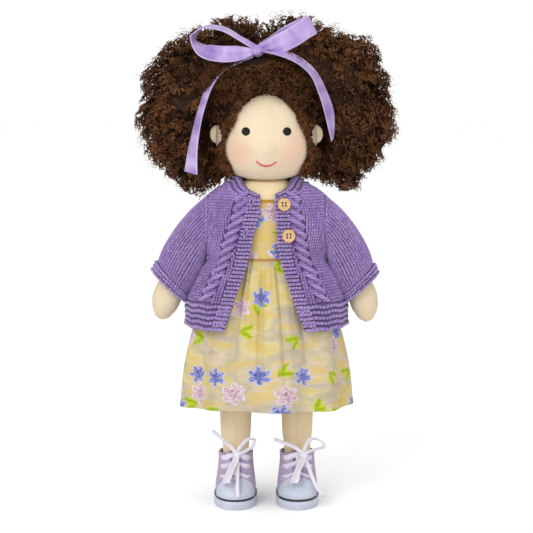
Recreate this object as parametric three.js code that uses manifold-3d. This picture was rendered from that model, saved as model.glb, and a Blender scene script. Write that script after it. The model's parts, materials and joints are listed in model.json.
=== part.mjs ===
// A standing cloth doll: a stuffed body with swinging arms and legs, a curly wig tied with a ribbon,
// a knitted cardigan over a gathered dress, and a pair of laced canvas shoes.
// Millimetres, +Z up. The doll faces -Y, so its own left hand is towards +X.

import * as THREE from "three";
import { mergeVertices } from "three/addons/utils/BufferGeometryUtils.js";
import Module from "manifold-3d";

const wasm = await Module();
wasm.setup();

// Clearances
const fit = 0.35; // between two pieces that lie against each other
const seam = 0.3; // between two flat faces that meet
const past = 1; // a cutting tool reaches this far past the piece that it cuts
const sides = { left: 1, right: -1 };

// Stuffed torso. Rows are [height above the hip joints, half width, half depth].
const hipHeight = 142;
const torsoRows = [
  [5, 24, 15],
  [8, 32, 21],
  [15, 36, 24],
  [28, 35, 25],
  [48, 31.5, 24.5],
  [65, 33, 24],
  [80, 34.6, 22.6],
  [92, 33.4, 20.2],
  [99, 30, 18.6],
  [104, 22.5, 17],
  [108, 16, 15.6],
];
const torsoSides = 20;
const armSeat = 34; // the flat seams for the arms are this far out

// Head. Rows are [height above the chin crease, half width, half depth].
const neckGap = 0.9; // the thread lies here
const headRows = [
  [0, 15.2, 15.2],
  [2, 21.6, 21],
  [6, 28, 27.4],
  [12, 33.2, 32.8],
  [19, 36.8, 36.2],
  [25, 38.4, 37.6],
  [31, 38.9, 37.9],
  [38, 38.5, 37.4],
  [48, 38.2, 38],
  [60, 36, 38],
  [70, 31.5, 34],
  [78, 24.5, 27],
  [84, 15, 17],
  [86, 8, 9],
];
const headSides = 24;
const noseHeight = 25;
const noseReach = 3.4;
const noseRadius = 6.5;
const neckThreadThickness = 0.9;
const neckThreadReach = 1.2; // its middle line lies this far outside the chin crease
const neckThreadBed = 0.1; // between the thread and the skin

// Face and ears, at heights above the chin crease
const eyeRadius = 2.9;
const eyeSpacing = 31;
const eyeHeight = 38;
const stitchThickness = 0.7;
const faceStart = -10; // the face lies before this
const mouthWidth = 15.5;
const mouthDrop = 3.6;
const mouthHeight = 15.4;
const mouthThickness = 1.4;
const earHalf = [5.6, 4, 7.2];
const earHeight = 34;
const earReach = 37.8;
const earBack = 1; // behind the middle of the head

// Arms. Rows are [outwards from the shoulder, down, radius].
const shoulderRise = 80; // above the hip joints
const shoulderReach = 42;
const armRows = [
  [0, 0, 10.6],
  [7.8, 12, 9.5],
  [15.8, 28, 9.5],
  [24, 43, 10],
  [30, 53, 10.4],
  [34, 62, 11.2],
  [36.2, 70, 10.2],
  [37.4, 76, 7.4],
  [38, 80.4, 3.4],
];
const armDepthShare = 0.94;
const armTurn = { left: -1.8, right: 1 }; // how far the hand end swings outwards, in degrees
const armSides = 12;

// Legs. Rows are [share of the way from ankle to hip, front, back, half width].
const legSpacing = 48;
const hipRadius = 13.5;
const ankleHeight = 45;
const legRows = [
  [0, -10.6, 10.8, 10.6],
  [0.06, -11.4, 11.4, 11.5],
  [0.18, -12, 12, 12.1],
  [0.42, -12.8, 12.8, 12.5],
  [0.68, -13.2, 13.2, 13],
  [0.88, -13.3, 13.3, 13.3],
];

// Shoes. Rows are [height, toe end, heel end, half width] outside the canvas.
const shoeRows = [
  [8, -43, 19, 15.7],
  [12.5, -42.2, 19, 15.7],
  [16, -39, 18.4, 15.4],
  [20, -32.6, 17.5, 14.8],
  [26, -23.8, 16.4, 14],
  [33, -17.6, 15.4, 13.4],
  [44, -14.4, 14.4, 13],
];
const shoeSides = 14;
const shoeSquareness = 2.3;
const soleHeight = 6.6;
const soleOverhang = 1.1;
const stripeThickness = 0.8;
const canvas = 1.4;
const tongueThickness = 1;
const tongueRise = 3; // above the collar
const tongueRoot = 3; // below the foot of the throat
const tongueLap = 2.4; // under the canvas on each side of the throat
const shoeFrontStart = -5; // the front of the shoe lies before this
const collarHeight = 39.5;
const toeCapEdge = -29.5; // the toe cap covers what lies before this
const throatHalf = 4.4;
const throatFoot = 20;

// Laces and eyelets
const laceWidth = 3.4;
const laceThickness = 0.9;
const laceRise = 1.6; // each crossing rises this much from its eyelets to the middle
const laceJoinHalf = 1.2; // half width of the lace that joins the crossings down the middle
const eyeletDrops = [17.3, 10.9, 4.7]; // below the collar
const eyeletReach = 9;
const eyeletRadius = 1.7;
const eyeletBarrel = 1;
const eyeletBore = 0.6;
const eyeletDrill = 4; // depth of the tool that makes an eyelet's hole
const laceKnot = { x: { left: 4.6, right: 1.2 }, y: -18.8, z: 38.4, half: [2.6, 2, 2.4] };

// Dress
const dressCloth = 1;
const waistRise = 48;
const necklineRise = 93.5;
const bodiceTop = 103; // above the hip joints
const necklineHalf = 18;
const armholeRadius = 13.4;
const skirtLength = 114;
// Rows of the skirt are [share of the way down, half width, half depth].
const skirtRows = [
  [0, 33.6, 26.6],
  [0.07, 37.8, 29.4],
  [0.16, 43, 33],
  [0.3, 49.6, 37.2],
  [0.46, 55.6, 40.8],
  [0.63, 60, 43.4],
  [0.81, 63.2, 45],
  [1, 65, 46],
];
const skirtSides = 36;
const foldCount = 9;
const foldDepth = 2.6;
const gatherDepth = 0.4;

// Cardigan. Rows are [height above the hip joints, half width, half depth].
const knit = 2.4;
const cardiganRows = [
  [-4, 62.6, 47],
  [14, 59, 43.8],
  [33, 50.2, 38.4],
  [49, 45, 33.2],
  [60, 50, 31.2],
  [74, 53, 29.6],
  [88, 50.6, 27],
  [97, 44.6, 24],
  [102, 37.6, 22.4],
  [107, 30, 20.8],
  [112, 25, 21],
];
const cardiganSides = 28;
const cardiganSquareness = 2.35;
const armholePlane = 45;
// The inside of the cardigan closes in on the dress between the first two heights above the hip joints,
// and opens again at the collar between the last two.
const yokeHeights = [93, 102, 104.5, 106];
const collarDrop = 11; // the neck edge is this much lower at the front
const collarDepth = 44;
const collarRise = 1; // how far the neck edge's middle stands above the halfway height
// Front edges, as [height above the hip joints, distance from the middle]
const frontEdges = {
  right: [
    [108, 4.4],
    [86, 6.5],
    [66, 11],
    [39, 18],
    [22, 24.3],
    [-6, 35],
  ],
  left: [
    [108, 6],
    [80, 8.2],
    [55, 10.2],
    [31, 17.2],
    [16, 22.5],
    [-6, 31.4],
  ],
};
// Rings of a sleeve: upper edge [out from the armhole, up from the shoulder], lower edge, half depth
const sleeveRings = [
  [0, 16, 0, -30, 16.4],
  [12.7, 5, 4.3, -39, 16.2],
  [25.1, -10, 8.7, -48.4, 15.8],
  [34.7, -26.4, 13.1, -57.6, 15.2],
  [41.1, -43, 16.1, -65.6, 15],
  [42.1, -44.6, 16.7, -67, 14.6],
];
const sleeveSides = 14;

// Buttons
const buttonRadius = 5;
const buttonThickness = 2.2;
const buttonRim = 0.6; // the face is sunk this much below the rim
const buttonRimWidth = 1.1;
const buttonHole = 0.8;
const buttonHoleSpacing = 2.5;
const threadRadius = 0.45;
const threadStand = 0.4; // how far the wool stands above the face
const buttonPlaces = { button_upper: [13.2, 90.5], button_lower: [16.6, 67.5] };

// Wig. The cap follows the head; two puffs of curls stand behind it, one on each side.
const capSide = 3.4;
const capTop = 10.5;
const capCrown = 0.5; // the cap's top face is this share of the ring under it
const capCrownRise = 2.1;
const napeHeight = 8; // above the chin crease
// Half of the face opening, as [x, height above the chin crease]
const faceOpening = [
  [0, 66.5],
  [12, 58.5],
  [20, 51],
  [24, 42],
  [29, 34],
  [31, 25],
  [28.5, 15],
  [25, 6],
  [25, -8],
];
const puffCentre = [42, 15, 56]; // above the chin crease
const puffHalf = [57, 31, 75];
const puffLean = 15; // degrees that the top of each puff leans in
const sleeveRoom = 2; // between the puffs and a swinging sleeve

// Ribbon. Places are above the chin crease too.
const ribbonWidth = 15;
const ribbonThickness = 0.6;
const ribbonLean = 0.28;
const ribbonBandHeight = 49; // the band's leaning plane passes this height above the chin crease
const ribbonBandBack = 6; // behind the middle of the head
const knotCentre = [-6.5, -26.6, 98];
const knotHalf = [4.6, 4, 4.4];

// Materials
const matter = (color, roughness, metalness = 0) =>
  new THREE.MeshStandardMaterial({ color, roughness, metalness });
const skin = matter(0xecd5ae, 0.85);
const blackThread = matter(0x0c0b0b, 0.7);
const pinkThread = matter(0xd98078, 0.8);
const tanThread = matter(0xc09060, 0.8);
const curls = matter(0x4a2a19, 0.75);
const satin = matter(0xb49cd8, 0.35);
const print = matter(0xd2b87a, 0.85);
const wool = matter(0x7d5bb0, 0.95);
const beech = matter(0xe6c183, 0.55);
const rubber = matter(0xd9dce6, 0.5);
const blackRubber = matter(0x101012, 0.5);
const lilacCanvas = matter(0xa48fb8, 0.9);
const lace = matter(0xe4e1f0, 0.9);
const brass = matter(0xb08a3c, 0.35, 1);

// Heights worked out from the sizes above
const shoulderHeight = hipHeight + shoulderRise;
const waistHeight = hipHeight + waistRise;
const eyeletHeights = eyeletDrops.map((drop) => collarHeight - drop);
const chinHeight = hipHeight + torsoRows.at(-1)[0] + neckGap;
const legX = legSpacing / 2;
const wide = 200; // reaches past the doll on every side

const vector = (x, y, z) => new THREE.Vector3(x, y, z);
const smooth = (low, high, x) => THREE.MathUtils.smoothstep(x, low, high);
const angles = (count) => Array.from({ length: count }, (_, i) => (i / count) * 2 * Math.PI);
const squared = (v, power) => Math.sign(v) * Math.abs(v) ** (2 / power);

// A closed geometry as a solid, turned to face out whichever way it was wound.
function solidOf(geometry) {
  const bare = geometry.index ? geometry.toNonIndexed() : geometry.clone();
  bare.deleteAttribute("normal");
  bare.deleteAttribute("uv");
  const merged = mergeVertices(bare, 1e-4);
  const vertProperties = merged.attributes.position.array;
  const triVerts = new Uint32Array(merged.index.array);
  const make = () => new wasm.Manifold(new wasm.Mesh({ numProp: 3, vertProperties, triVerts }));
  const made = make();
  if (made.volume() > 0) return made;
  for (let i = 0; i < triVerts.length; i += 3) {
    [triVerts[i + 1], triVerts[i + 2]] = [triVerts[i + 2], triVerts[i + 1]];
  }
  return make();
}

function geometryOf(solid) {
  const mesh = solid.getMesh();
  const position = new THREE.BufferAttribute(new Float32Array(mesh.vertProperties), 3);
  const index = new THREE.BufferAttribute(new Uint32Array(mesh.triVerts), 1);
  return new THREE.BufferGeometry().setAttribute("position", position).setIndex(index);
}

const cut = (solid, ...tools) => tools.reduce((kept, tool) => kept.subtract(tool), solid);
const join = (...solids) => solids.reduce((all, one) => all.add(one));

const doll = new THREE.Group();

// Adds a solid to the doll as a named mesh, without the slivers that a cut can leave beside it.
function add(name, solid, material) {
  const body = solid.decompose().sort((a, b) => b.volume() - a.volume())[0];
  const mesh = new THREE.Mesh(geometryOf(body), material);
  mesh.name = name;
  doll.add(mesh);
}

// The other numbers of a table's row at any value of its first number, on straight lines between rows.
function rowAt(rows, key) {
  const sorted = [...rows].sort((a, b) => a[0] - b[0]);
  const last = sorted.length - 1;
  const above = Math.min(Math.max(sorted.findIndex((row) => row[0] >= key), 1), last);
  const i = key > sorted[last][0] ? last : above;
  const [low, high] = [sorted[i - 1], sorted[i]];
  const share = THREE.MathUtils.clamp((key - low[0]) / (high[0] - low[0]), 0, 1);
  return low.slice(1).map((value, k) => value + (high[k + 1] - value) * share);
}

// The levels of a table between two values, with both ends.
function levels(rows, low, high) {
  const close = (high - low) / 100;
  const between = rows.map(([key]) => key).filter((key) => key > low + close && key < high - close);
  return [low, ...between.sort((a, b) => a - b), high];
}

// A level oval, squarer as its power grows above 2.
function oval(halfX, halfY, z, count, power, middleX = 0, middleY = 0) {
  return angles(count).map((t) =>
    vector(
      middleX + halfX * squared(Math.cos(t), power),
      middleY + halfY * squared(Math.sin(t), power),
      z,
    ),
  );
}

// A closed solid through rings that have the same number of points. A face whose place in the ring is
// in turnedFaces is split along its other diagonal.
function loft(rings, turnedFaces = []) {
  const count = rings[0].length;
  const points = rings.flat();
  const index = [];
  for (let i = 0; i + 1 < rings.length; i++) {
    for (let j = 0; j < count; j++) {
      const [a, b] = [i * count + j, i * count + ((j + 1) % count)];
      const [c, d] = [b + count, a + count];
      index.push(...(turnedFaces.includes(j) ? [a, b, d, b, c, d] : [a, b, c, a, c, d]));
    }
  }
  for (const ring of [rings[0], rings.at(-1)]) {
    const hub = points.length;
    const start = ring === rings[0] ? 0 : (rings.length - 1) * count;
    points.push(ring.reduce((sum, p) => sum.addScaledVector(p, 1 / count), vector(0, 0, 0)));
    for (let j = 0; j < count; j++) {
      const [a, b] = [start + j, start + ((j + 1) % count)];
      index.push(...(start ? [hub, a, b] : [hub, b, a]));
    }
  }
  return solidOf(new THREE.BufferGeometry().setFromPoints(points).setIndex(index));
}

// A prism over an outline in the X-Z plane, from one Y to another.
function prism(outline, from, to) {
  const shape = new THREE.Shape(outline.map(([x, z]) => new THREE.Vector2(x, z)));
  const geometry = new THREE.ExtrudeGeometry(shape, { depth: to - from, bevelEnabled: false });
  return solidOf(geometry.rotateX(Math.PI / 2).translate(0, to, 0));
}

function block(low, high) {
  const size = vector(...high).sub(vector(...low));
  const middle = vector(...low).add(vector(...high)).multiplyScalar(0.5);
  return solidOf(new THREE.BoxGeometry(...size.toArray()).translate(...middle.toArray()));
}

// Everything on one side of the doll, from a distance out from the middle
const sideBlock = (s, from) =>
  s > 0 ? block([from, -wide, 0], [wide, wide, 3 * wide]) : block([-wide, -wide, 0], [-from, wide, 3 * wide]);

function ellipsoid(centre, half, across = 12, down = 8) {
  const geometry = new THREE.SphereGeometry(1, across, down).rotateX(Math.PI / 2);
  return solidOf(geometry.scale(...half).translate(...centre));
}

const ballSides = 14;
const ballRings = 8;
const ball = (centre, radius) => ellipsoid(centre, [radius, radius, radius], ballSides, ballRings);

// A room for a ball to turn in: the middles of its flat faces, too, lie outside the ball.
function ballRoom(centre, radius) {
  const flatness = Math.cos(Math.PI / ballSides) * Math.cos(Math.PI / (2 * ballRings));
  return ball(centre, radius / flatness);
}

// A round bar along X, on the line through the shoulders.
function shoulderBar(radius, from, to) {
  const geometry = new THREE.CylinderGeometry(radius, radius, to - from, 12).rotateZ(Math.PI / 2);
  return solidOf(geometry.translate((from + to) / 2, 0, shoulderHeight));
}

// A flat band along a smooth route. Each stop is a point and the way that the band's width runs there;
// a shorter width vector draws the band in.
function band(stops, width, thickness, steps) {
  const route = new THREE.CatmullRomCurve3(stops.map(([point]) => vector(...point)));
  const across = new THREE.CatmullRomCurve3(stops.map(([, way]) => vector(...way)));
  const rings = Array.from({ length: steps + 1 }, (_, i) => {
    const along = route.getTangent(i / steps);
    const way = across.getPoint(i / steps);
    const half = (width * Math.min(way.length(), 1)) / 2;
    way.addScaledVector(along, -way.dot(along)).setLength(half);
    const rise = along.cross(way).setLength(thickness / 2);
    const corners = [[1, 1], [-1, 1], [-1, -1], [1, -1]];
    return corners.map(([a, b]) =>
      route.getPoint(i / steps).addScaledVector(way, a).addScaledVector(rise, b),
    );
  });
  const underside = 2;
  return loft(rings, [underside]);
}

// Torso, with flat seams for the arms and sockets for the legs
const torsoPower = 2.2;
function torsoForm(grow, low = torsoRows[0][0], high = torsoRows.at(-1)[0]) {
  const rings = levels(torsoRows, low, high).map((rise) => {
    const [halfX, halfY] = rowAt(torsoRows, rise);
    return oval(halfX + grow, halfY + grow, hipHeight + rise, torsoSides, torsoPower);
  });
  return loft(rings);
}

function makeTorso() {
  const sockets = Object.values(sides).map((s) =>
    ballRoom([s * legX, 0, hipHeight], hipRadius + fit),
  );
  const lap = block([-wide, -wide, 0], [wide, 0, hipHeight + hipRadius + fit]);
  const seats = block([-armSeat, -wide, 0], [armSeat, wide, 2 * wide]);
  add("torso", cut(torsoForm(0).intersect(seats), ...sockets, lap), skin);
}

// Head. The points of a ring crowd together at the face, where the nose is.
const headPower = 2.15;
const headAngles = angles(headSides).map((t) => t - 0.5 * Math.cos(t));

function headPoint(height, angle, grow) {
  const [halfX, halfY] = rowAt(headRows, height);
  const x = (halfX + grow) * squared(Math.cos(angle), headPower);
  const y = (halfY + grow) * squared(Math.sin(angle), headPower);
  const away = Math.hypot(x, height - noseHeight) / noseRadius;
  const nose = y < 0 ? noseReach * Math.exp(-away * away) : 0;
  return vector(x, y - nose, chinHeight + height);
}

function headForm(grow) {
  const rings = headRows.map(([height]) => headAngles.map((t) => headPoint(height, t, grow)));
  return loft(rings);
}

const headRoom = headForm(fit);

function makeFace() {
  add("head", headForm(0), skin);
  const stitches = cut(headForm(fit + stitchThickness), headRoom);
  const patch = (outline) =>
    stitches.intersect(prism(outline.map(([x, h]) => [x, chinHeight + h]), -wide, faceStart));
  for (const [side, s] of Object.entries(sides)) {
    const disc = angles(12).map((t) => [
      (s * eyeSpacing) / 2 + eyeRadius * Math.cos(t),
      eyeHeight + eyeRadius * Math.sin(t),
    ]);
    add(`${side}_eye`, patch(disc), blackThread);
  }
  const steps = [-1, -0.6, -0.2, 0.2, 0.6, 1];
  const edge = (t, way) => [
    (t * mouthWidth) / 2,
    mouthHeight - mouthDrop * (1 - t * t) + (way * mouthThickness * (1 - 0.4 * Math.abs(t))) / 2,
  ];
  const lips = [...steps.map((t) => edge(t, 1)), ...steps.toReversed().map((t) => edge(t, -1))];
  add("mouth", patch(lips), pinkThread);
}

// Thread that ties the neck, in the crease under the chin
function makeNeckThread() {
  const radius = neckThreadThickness / 2;
  const [reach] = headRows[0].slice(1);
  const ring = new THREE.TorusGeometry(reach + neckThreadReach, radius, 5, 24);
  const solid = solidOf(ring.translate(0, 0, chinHeight - neckGap / 2));
  add("neck_thread", cut(solid, headForm(neckThreadBed), torsoForm(neckThreadBed)), tanThread);
}

// Wig cap, thin at the ears and deep on the crown
function wigForm(grow) {
  const crown = headRows.at(-1)[0];
  const rings = headRows.filter((_, i) => i % 2).map(([height]) => {
    const rise = smooth(crown / 2, crown, height);
    const reach = grow + fit + capSide + (capTop - capSide) * rise;
    return headAngles.map((t) => headPoint(height, t, reach).add(vector(0, 0, (grow + capTop) * rise)));
  });
  const top = rings.at(-1).map((p) => vector(p.x * capCrown, p.y * capCrown, p.z + capCrownRise));
  return loft([...rings, top]);
}

const earSpot = (s) => [s * earReach, earBack, chinHeight + earHeight];
const earRooms = Object.values(sides).map((s) =>
  ellipsoid(earSpot(s), earHalf.map((half) => half + fit)),
);

// The curls part in front of each ear, so that it shows.
const earView = (s) => {
  const [x, y, z] = earSpot(s);
  const reach = 3 * earHalf[0];
  return ellipsoid([x + s * fit, y - reach, z], [1.4 * earHalf[0], reach, 1.4 * earHalf[2]]);
};

function makeCap() {
  const right = faceOpening.map(([x, h]) => [x, chinHeight + h]);
  const left = right.toReversed().map(([x, z]) => [-x, z]);
  const face = prism([...right, ...left], -wide, 0);
  const nape = block([-wide, -wide, 0], [wide, wide, chinHeight + napeHeight]);
  add("hair_cap", cut(wigForm(0), headRoom, face, nape, ...earRooms), curls);
  for (const [side, s] of Object.entries(sides)) {
    add(`${side}_ear`, cut(ellipsoid(earSpot(s), earHalf), headRoom), skin);
  }
}

// Ribbon: a band round the wig, a knot, two loops and two tails. Stops are [x, y, above the chin crease].
const aboveChin = (stops) => stops.map(([[x, y, z], way]) => [[x, y, chinHeight + z], way]);
const ribbonBand = cut(wigForm(fit + ribbonThickness), wigForm(fit)).intersect(
  solidOf(
    new THREE.BoxGeometry(wide, ribbonWidth, 2 * wide)
      .rotateX(ribbonLean)
      .translate(0, ribbonBandBack, chinHeight + ribbonBandHeight),
  ),
);
const loopStops = {
  right: aboveChin([
    [[-8, -22, 101], [0, 0.42, 0.12]],
    [[-19, -21, 107.5], [0, 0.85, 0.2]],
    [[-34, -20, 115], [0.1, 1, 0.2]],
    [[-47, -20, 116], [0.15, 0.95, 0.1]],
    [[-55, -22, 108], [0.2, 0.95, 0.1]],
    [[-49, -26, 99.5], [0, 0.8, 0.6]],
    [[-34, -29, 95.5], [0, 0.6, 0.8]],
    [[-20, -28, 96], [0, 0.5, 0.7]],
    [[-8.6, -25.6, 97.2], [0, 0.3, 0.25]],
  ]),
  left: aboveChin([
    [[-5, -25, 99.6], [0.1, 0.2, -0.35]],
    [[6, -31, 102], [0.35, 0.2, -0.8]],
    [[20, -32, 108.5], [0.5, 0.2, -0.95]],
    [[31, -30, 115.5], [0.55, 0.2, -0.95]],
    [[34.4, -26, 117.5], [0.55, 0, -0.95]],
    [[30, -23, 116], [0.5, -0.1, -0.9]],
    [[17, -21.5, 110], [0.45, -0.1, -0.85]],
    [[5, -21.5, 104.4], [0.3, -0.1, -0.6]],
    [[-4.6, -22, 100.6], [0.1, -0.1, -0.35]],
  ]),
};
const tailStops = {
  right: aboveChin([
    [[-10.6, -27.6, 98], [-0.2, 0.5, 0.3]],
    [[-22, -31, 95], [-0.2, 0.8, 0.5]],
    [[-34, -30, 86], [-0.2, 0.9, 0.2]],
    [[-43, -28.5, 72], [-0.3, 0.95, 0]],
    [[-49, -28.5, 56], [-0.35, 0.9, 0]],
    [[-53, -28, 40], [-0.55, 0.7, 0]],
    [[-56, -27, 24], [-0.8, 0.5, 0]],
    [[-57.4, -25, 6], [-0.95, 0.3, 0.05]],
  ]),
  left: aboveChin([
    [[-2.6, -28.6, 98.4], [0.2, 0.5, 0.3]],
    [[9, -33, 96.6], [0.2, 0.7, 0.5]],
    [[22, -33, 92], [0.3, 0.8, 0.4]],
    [[34, -31.5, 82], [0.5, 0.8, 0.3]],
    [[42, -30.5, 67], [0.7, 0.6, 0.2]],
    [[46.6, -29.5, 53], [0.8, 0.5, 0.1]],
    [[48.6, -28.5, 41], [0.7, 0.65, 0.1]],
    [[49.6, -28, 31], [0.45, 0.85, 0]],
  ]),
};

function makeRibbon() {
  const centre = [knotCentre[0], knotCentre[1], chinHeight + knotCentre[2]];
  const knotRoom = ellipsoid(centre, knotHalf.map((half) => half + seam));
  const nape = block([-wide, -wide, 0], [wide, wide, chinHeight + napeHeight]);
  const wigRoom = wigForm(2 * fit + ribbonThickness);
  add("ribbon_band", cut(ribbonBand, nape, ...earRooms), satin);
  add("ribbon_knot", ellipsoid(centre, knotHalf), satin);
  for (const side of Object.keys(sides)) {
    const loop = band(loopStops[side], ribbonWidth, ribbonThickness, 20);
    const loopRoom = band(loopStops[side], ribbonWidth + 2 * seam, ribbonThickness + 2 * seam, 20);
    const tail = band(tailStops[side], ribbonWidth, ribbonThickness, 16);
    add(`ribbon_loop_${side}`, cut(loop, knotRoom, wigRoom), satin);
    add(`ribbon_tail_${side}`, cut(tail, knotRoom, wigRoom, loopRoom), satin);
  }
}

// A point of an arm or sleeve, [out, up from the shoulder], swung outwards more towards the hand
function armPlace(side, out, up, share) {
  const turn = THREE.MathUtils.degToRad(armTurn[side]) * share;
  const arm = out - shoulderReach;
  const x = shoulderReach + arm * Math.cos(turn) - up * Math.sin(turn);
  const z = up * Math.cos(turn) + arm * Math.sin(turn);
  return vector(sides[side] * x, 0, shoulderHeight + z);
}

// Arms with mitten hands
function makeArm(side) {
  const s = sides[side];
  const points = armRows.map(([out, down], i) =>
    armPlace(side, shoulderReach + out, -down, i / (armRows.length - 1)),
  );
  const rings = points.map((point, i) => {
    const next = points[Math.min(i + 1, points.length - 1)];
    const along = next.clone().sub(points[Math.max(i - 1, 0)]).normalize();
    const radius = armRows[i][2];
    return angles(armSides).map((t) =>
      vector(along.z, 0, -along.x)
        .multiplyScalar(radius * Math.cos(t))
        .add(vector(0, radius * armDepthShare * Math.sin(t), 0))
        .add(point),
    );
  });
  const seat = armSeat + seam;
  const outside = sideBlock(s, seat);
  const top = ball([s * shoulderReach, 0, shoulderHeight], armRows[0][2]);
  add(`${side}_arm`, join(loft(rings), top).intersect(outside), skin);
}

// A level outline of a shoe, drawn in by an inset
function shoeRing(height, inset, middleX, z = height) {
  const [toe, heel, half] = rowAt(shoeRows, height);
  const reach = (heel - toe) / 2;
  const middleY = (toe + heel) / 2;
  return oval(half - inset, reach - inset, z, shoeSides, shoeSquareness, middleX, middleY);
}

function shoeForm(inset, low, high, middleX) {
  const rings = levels(shoeRows, low, high).map((z) => shoeRing(z, inset, middleX));
  return loft(rings);
}

// How far forward the outside of the shoe lies, at a place seen from the front
function shoeFront(x, z) {
  const [toe, heel, half] = rowAt(shoeRows, z);
  const share = Math.min(Math.abs(x) / half, 0.999);
  const curve = (1 - share ** shoeSquareness) ** (1 / shoeSquareness);
  return (toe + heel) / 2 - ((heel - toe) / 2) * curve;
}

// Leg and foot in one skin. The hip end is a ball, and the foot fits the shoe.
const footInset = canvas + tongueThickness + 2 * fit;
function makeLeg(side) {
  const middleX = sides[side] * legX;
  const shoeLow = shoeRows[0][0];
  const under = shoeRing(shoeLow, footInset + 3, middleX, soleHeight + fit);
  const foot = levels(shoeRows, shoeLow + 1, collarHeight).map((z) =>
    shoeRing(z, footInset, middleX),
  );
  const shank = legRows.map(([share, front, back, half]) => {
    const z = ankleHeight + (hipHeight - ankleHeight) * share;
    return oval(half, (back - front) / 2, z, shoeSides, 2.1, middleX, (front + back) / 2);
  });
  const hip = oval(hipRadius - seam, hipRadius - seam, hipHeight, shoeSides, 2, middleX);
  const solid = join(loft([under, ...foot, ...shank, hip]), ball([middleX, 0, hipHeight], hipRadius));
  add(`${side}_leg`, solid, skin);
}

// A turned ring or rod, with its axis along a direction at a place. Its outline is [radius, height].
function turned(outline, count, place, direction) {
  const geometry = new THREE.LatheGeometry(outline.map(([r, h]) => new THREE.Vector2(r, h)), count);
  const turn = new THREE.Quaternion().setFromUnitVectors(vector(0, 1, 0), direction);
  return solidOf(geometry.applyQuaternion(turn).translate(...place.toArray()));
}

function makeSole(side) {
  const middleX = sides[side] * legX;
  const shoeLow = shoeRows[0][0];
  const outline = (grow, z) => shoeRing(shoeLow, -grow, middleX, z);
  const edge = 0.9;
  const sole = loft([
    outline(soleOverhang - edge, 0),
    outline(soleOverhang, edge),
    outline(soleOverhang, soleHeight),
  ]);
  add(`${side}_sole`, sole, rubber);
  const top = shoeLow - seam;
  const ring = (grow, low, high) => loft([outline(grow, low), outline(grow, high)]);
  const stripe = cut(
    ring(soleOverhang - seam, top - stripeThickness, top),
    ring(-canvas - fit, top - stripeThickness - past, top + past),
  );
  add(`${side}_sole_stripe`, stripe, blackRubber);
}

// The canvas upper, the toe cap, the tongue and the brass eyelets
function makeUpper(side) {
  const s = sides[side];
  const middleX = s * legX;
  const shoeLow = shoeRows[0][0];
  const shell = cut(
    shoeForm(0, shoeLow, collarHeight, middleX),
    shoeForm(canvas, shoeLow - past, collarHeight + past, middleX),
  );
  const toe = block([-wide, -wide, 0], [wide, toeCapEdge, wide]);
  const rest = block([-wide, toeCapEdge + seam, 0], [wide, wide, wide]);
  add(`${side}_toe_cap`, shell.intersect(toe), rubber);

  const throat = block(
    [middleX - throatHalf, -wide, throatFoot],
    [middleX + throatHalf, 0, collarHeight + past],
  );
  const holes = [];
  for (const [i, z] of eyeletHeights.entries()) {
    for (const [edge, way] of [["inner", -s], ["outer", s]]) {
      const x = way * eyeletReach;
      const near = 0.5;
      const slopeX = shoeFront(x + near, z) - shoeFront(x - near, z);
      const slopeZ = shoeFront(x, z + near) - shoeFront(x, z - near);
      const out = vector(slopeX, -2 * near, slopeZ).normalize();
      const place = vector(middleX + x, shoeFront(x, z), z);
      const ring = [
        [eyeletBore, -canvas],
        [eyeletBarrel, -canvas],
        [eyeletBarrel, fit],
        [eyeletRadius, fit],
        [eyeletBore, 2 * fit],
        [eyeletBore, -canvas],
      ];
      add(`${side}_eyelet_${edge}_${i + 1}`, turned(ring, 6, place, out), brass);
      const drill = eyeletBarrel + seam;
      const bore = [[0, -eyeletDrill], [drill, -eyeletDrill], [drill, eyeletDrill], [0, eyeletDrill]];
      holes.push(turned(bore, 6, place, out));
    }
  }
  add(`${side}_shoe_upper`, cut(shell.intersect(rest), throat, ...holes), lilacCanvas);

  const tongueTop = collarHeight + tongueRise;
  const tongueLow = throatFoot - tongueRoot;
  const tongueShell = cut(
    shoeForm(canvas + fit, tongueLow, tongueTop, middleX),
    shoeForm(canvas + fit + tongueThickness, tongueLow - past, tongueTop + past, middleX),
  );
  const half = throatHalf + tongueLap;
  const front = block([middleX - half, -wide, 0], [middleX + half, shoeFrontStart, wide]);
  add(`${side}_tongue`, tongueShell.intersect(front), lilacCanvas);
}

// Three crossings over the throat, joined down the middle where they cross
function makeLace(side) {
  const middleX = sides[side] * legX;
  const low = eyeletHeights[0] - laceWidth;
  const shell = cut(
    shoeForm(-fit - laceThickness, low, collarHeight, middleX),
    shoeForm(-fit, low - past, collarHeight + past, middleX),
  );
  const reach = eyeletReach - eyeletRadius - fit;
  const half = laceWidth / 2;
  const bars = eyeletHeights.map((z) => {
    const outline = [
      [middleX - reach, z - half],
      [middleX, z - half + laceRise],
      [middleX + reach, z - half],
      [middleX + reach, z + half],
      [middleX, z + half + laceRise],
      [middleX - reach, z + half],
    ];
    return prism(outline, -wide, shoeFrontStart);
  });
  const crossing = block(
    [middleX - laceJoinHalf, -wide, eyeletHeights[0]],
    [middleX + laceJoinHalf, shoeFrontStart, eyeletHeights.at(-1) + laceRise],
  );
  add(`${side}_lace`, shell.intersect(join(...bars, crossing)), lace);
}

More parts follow.
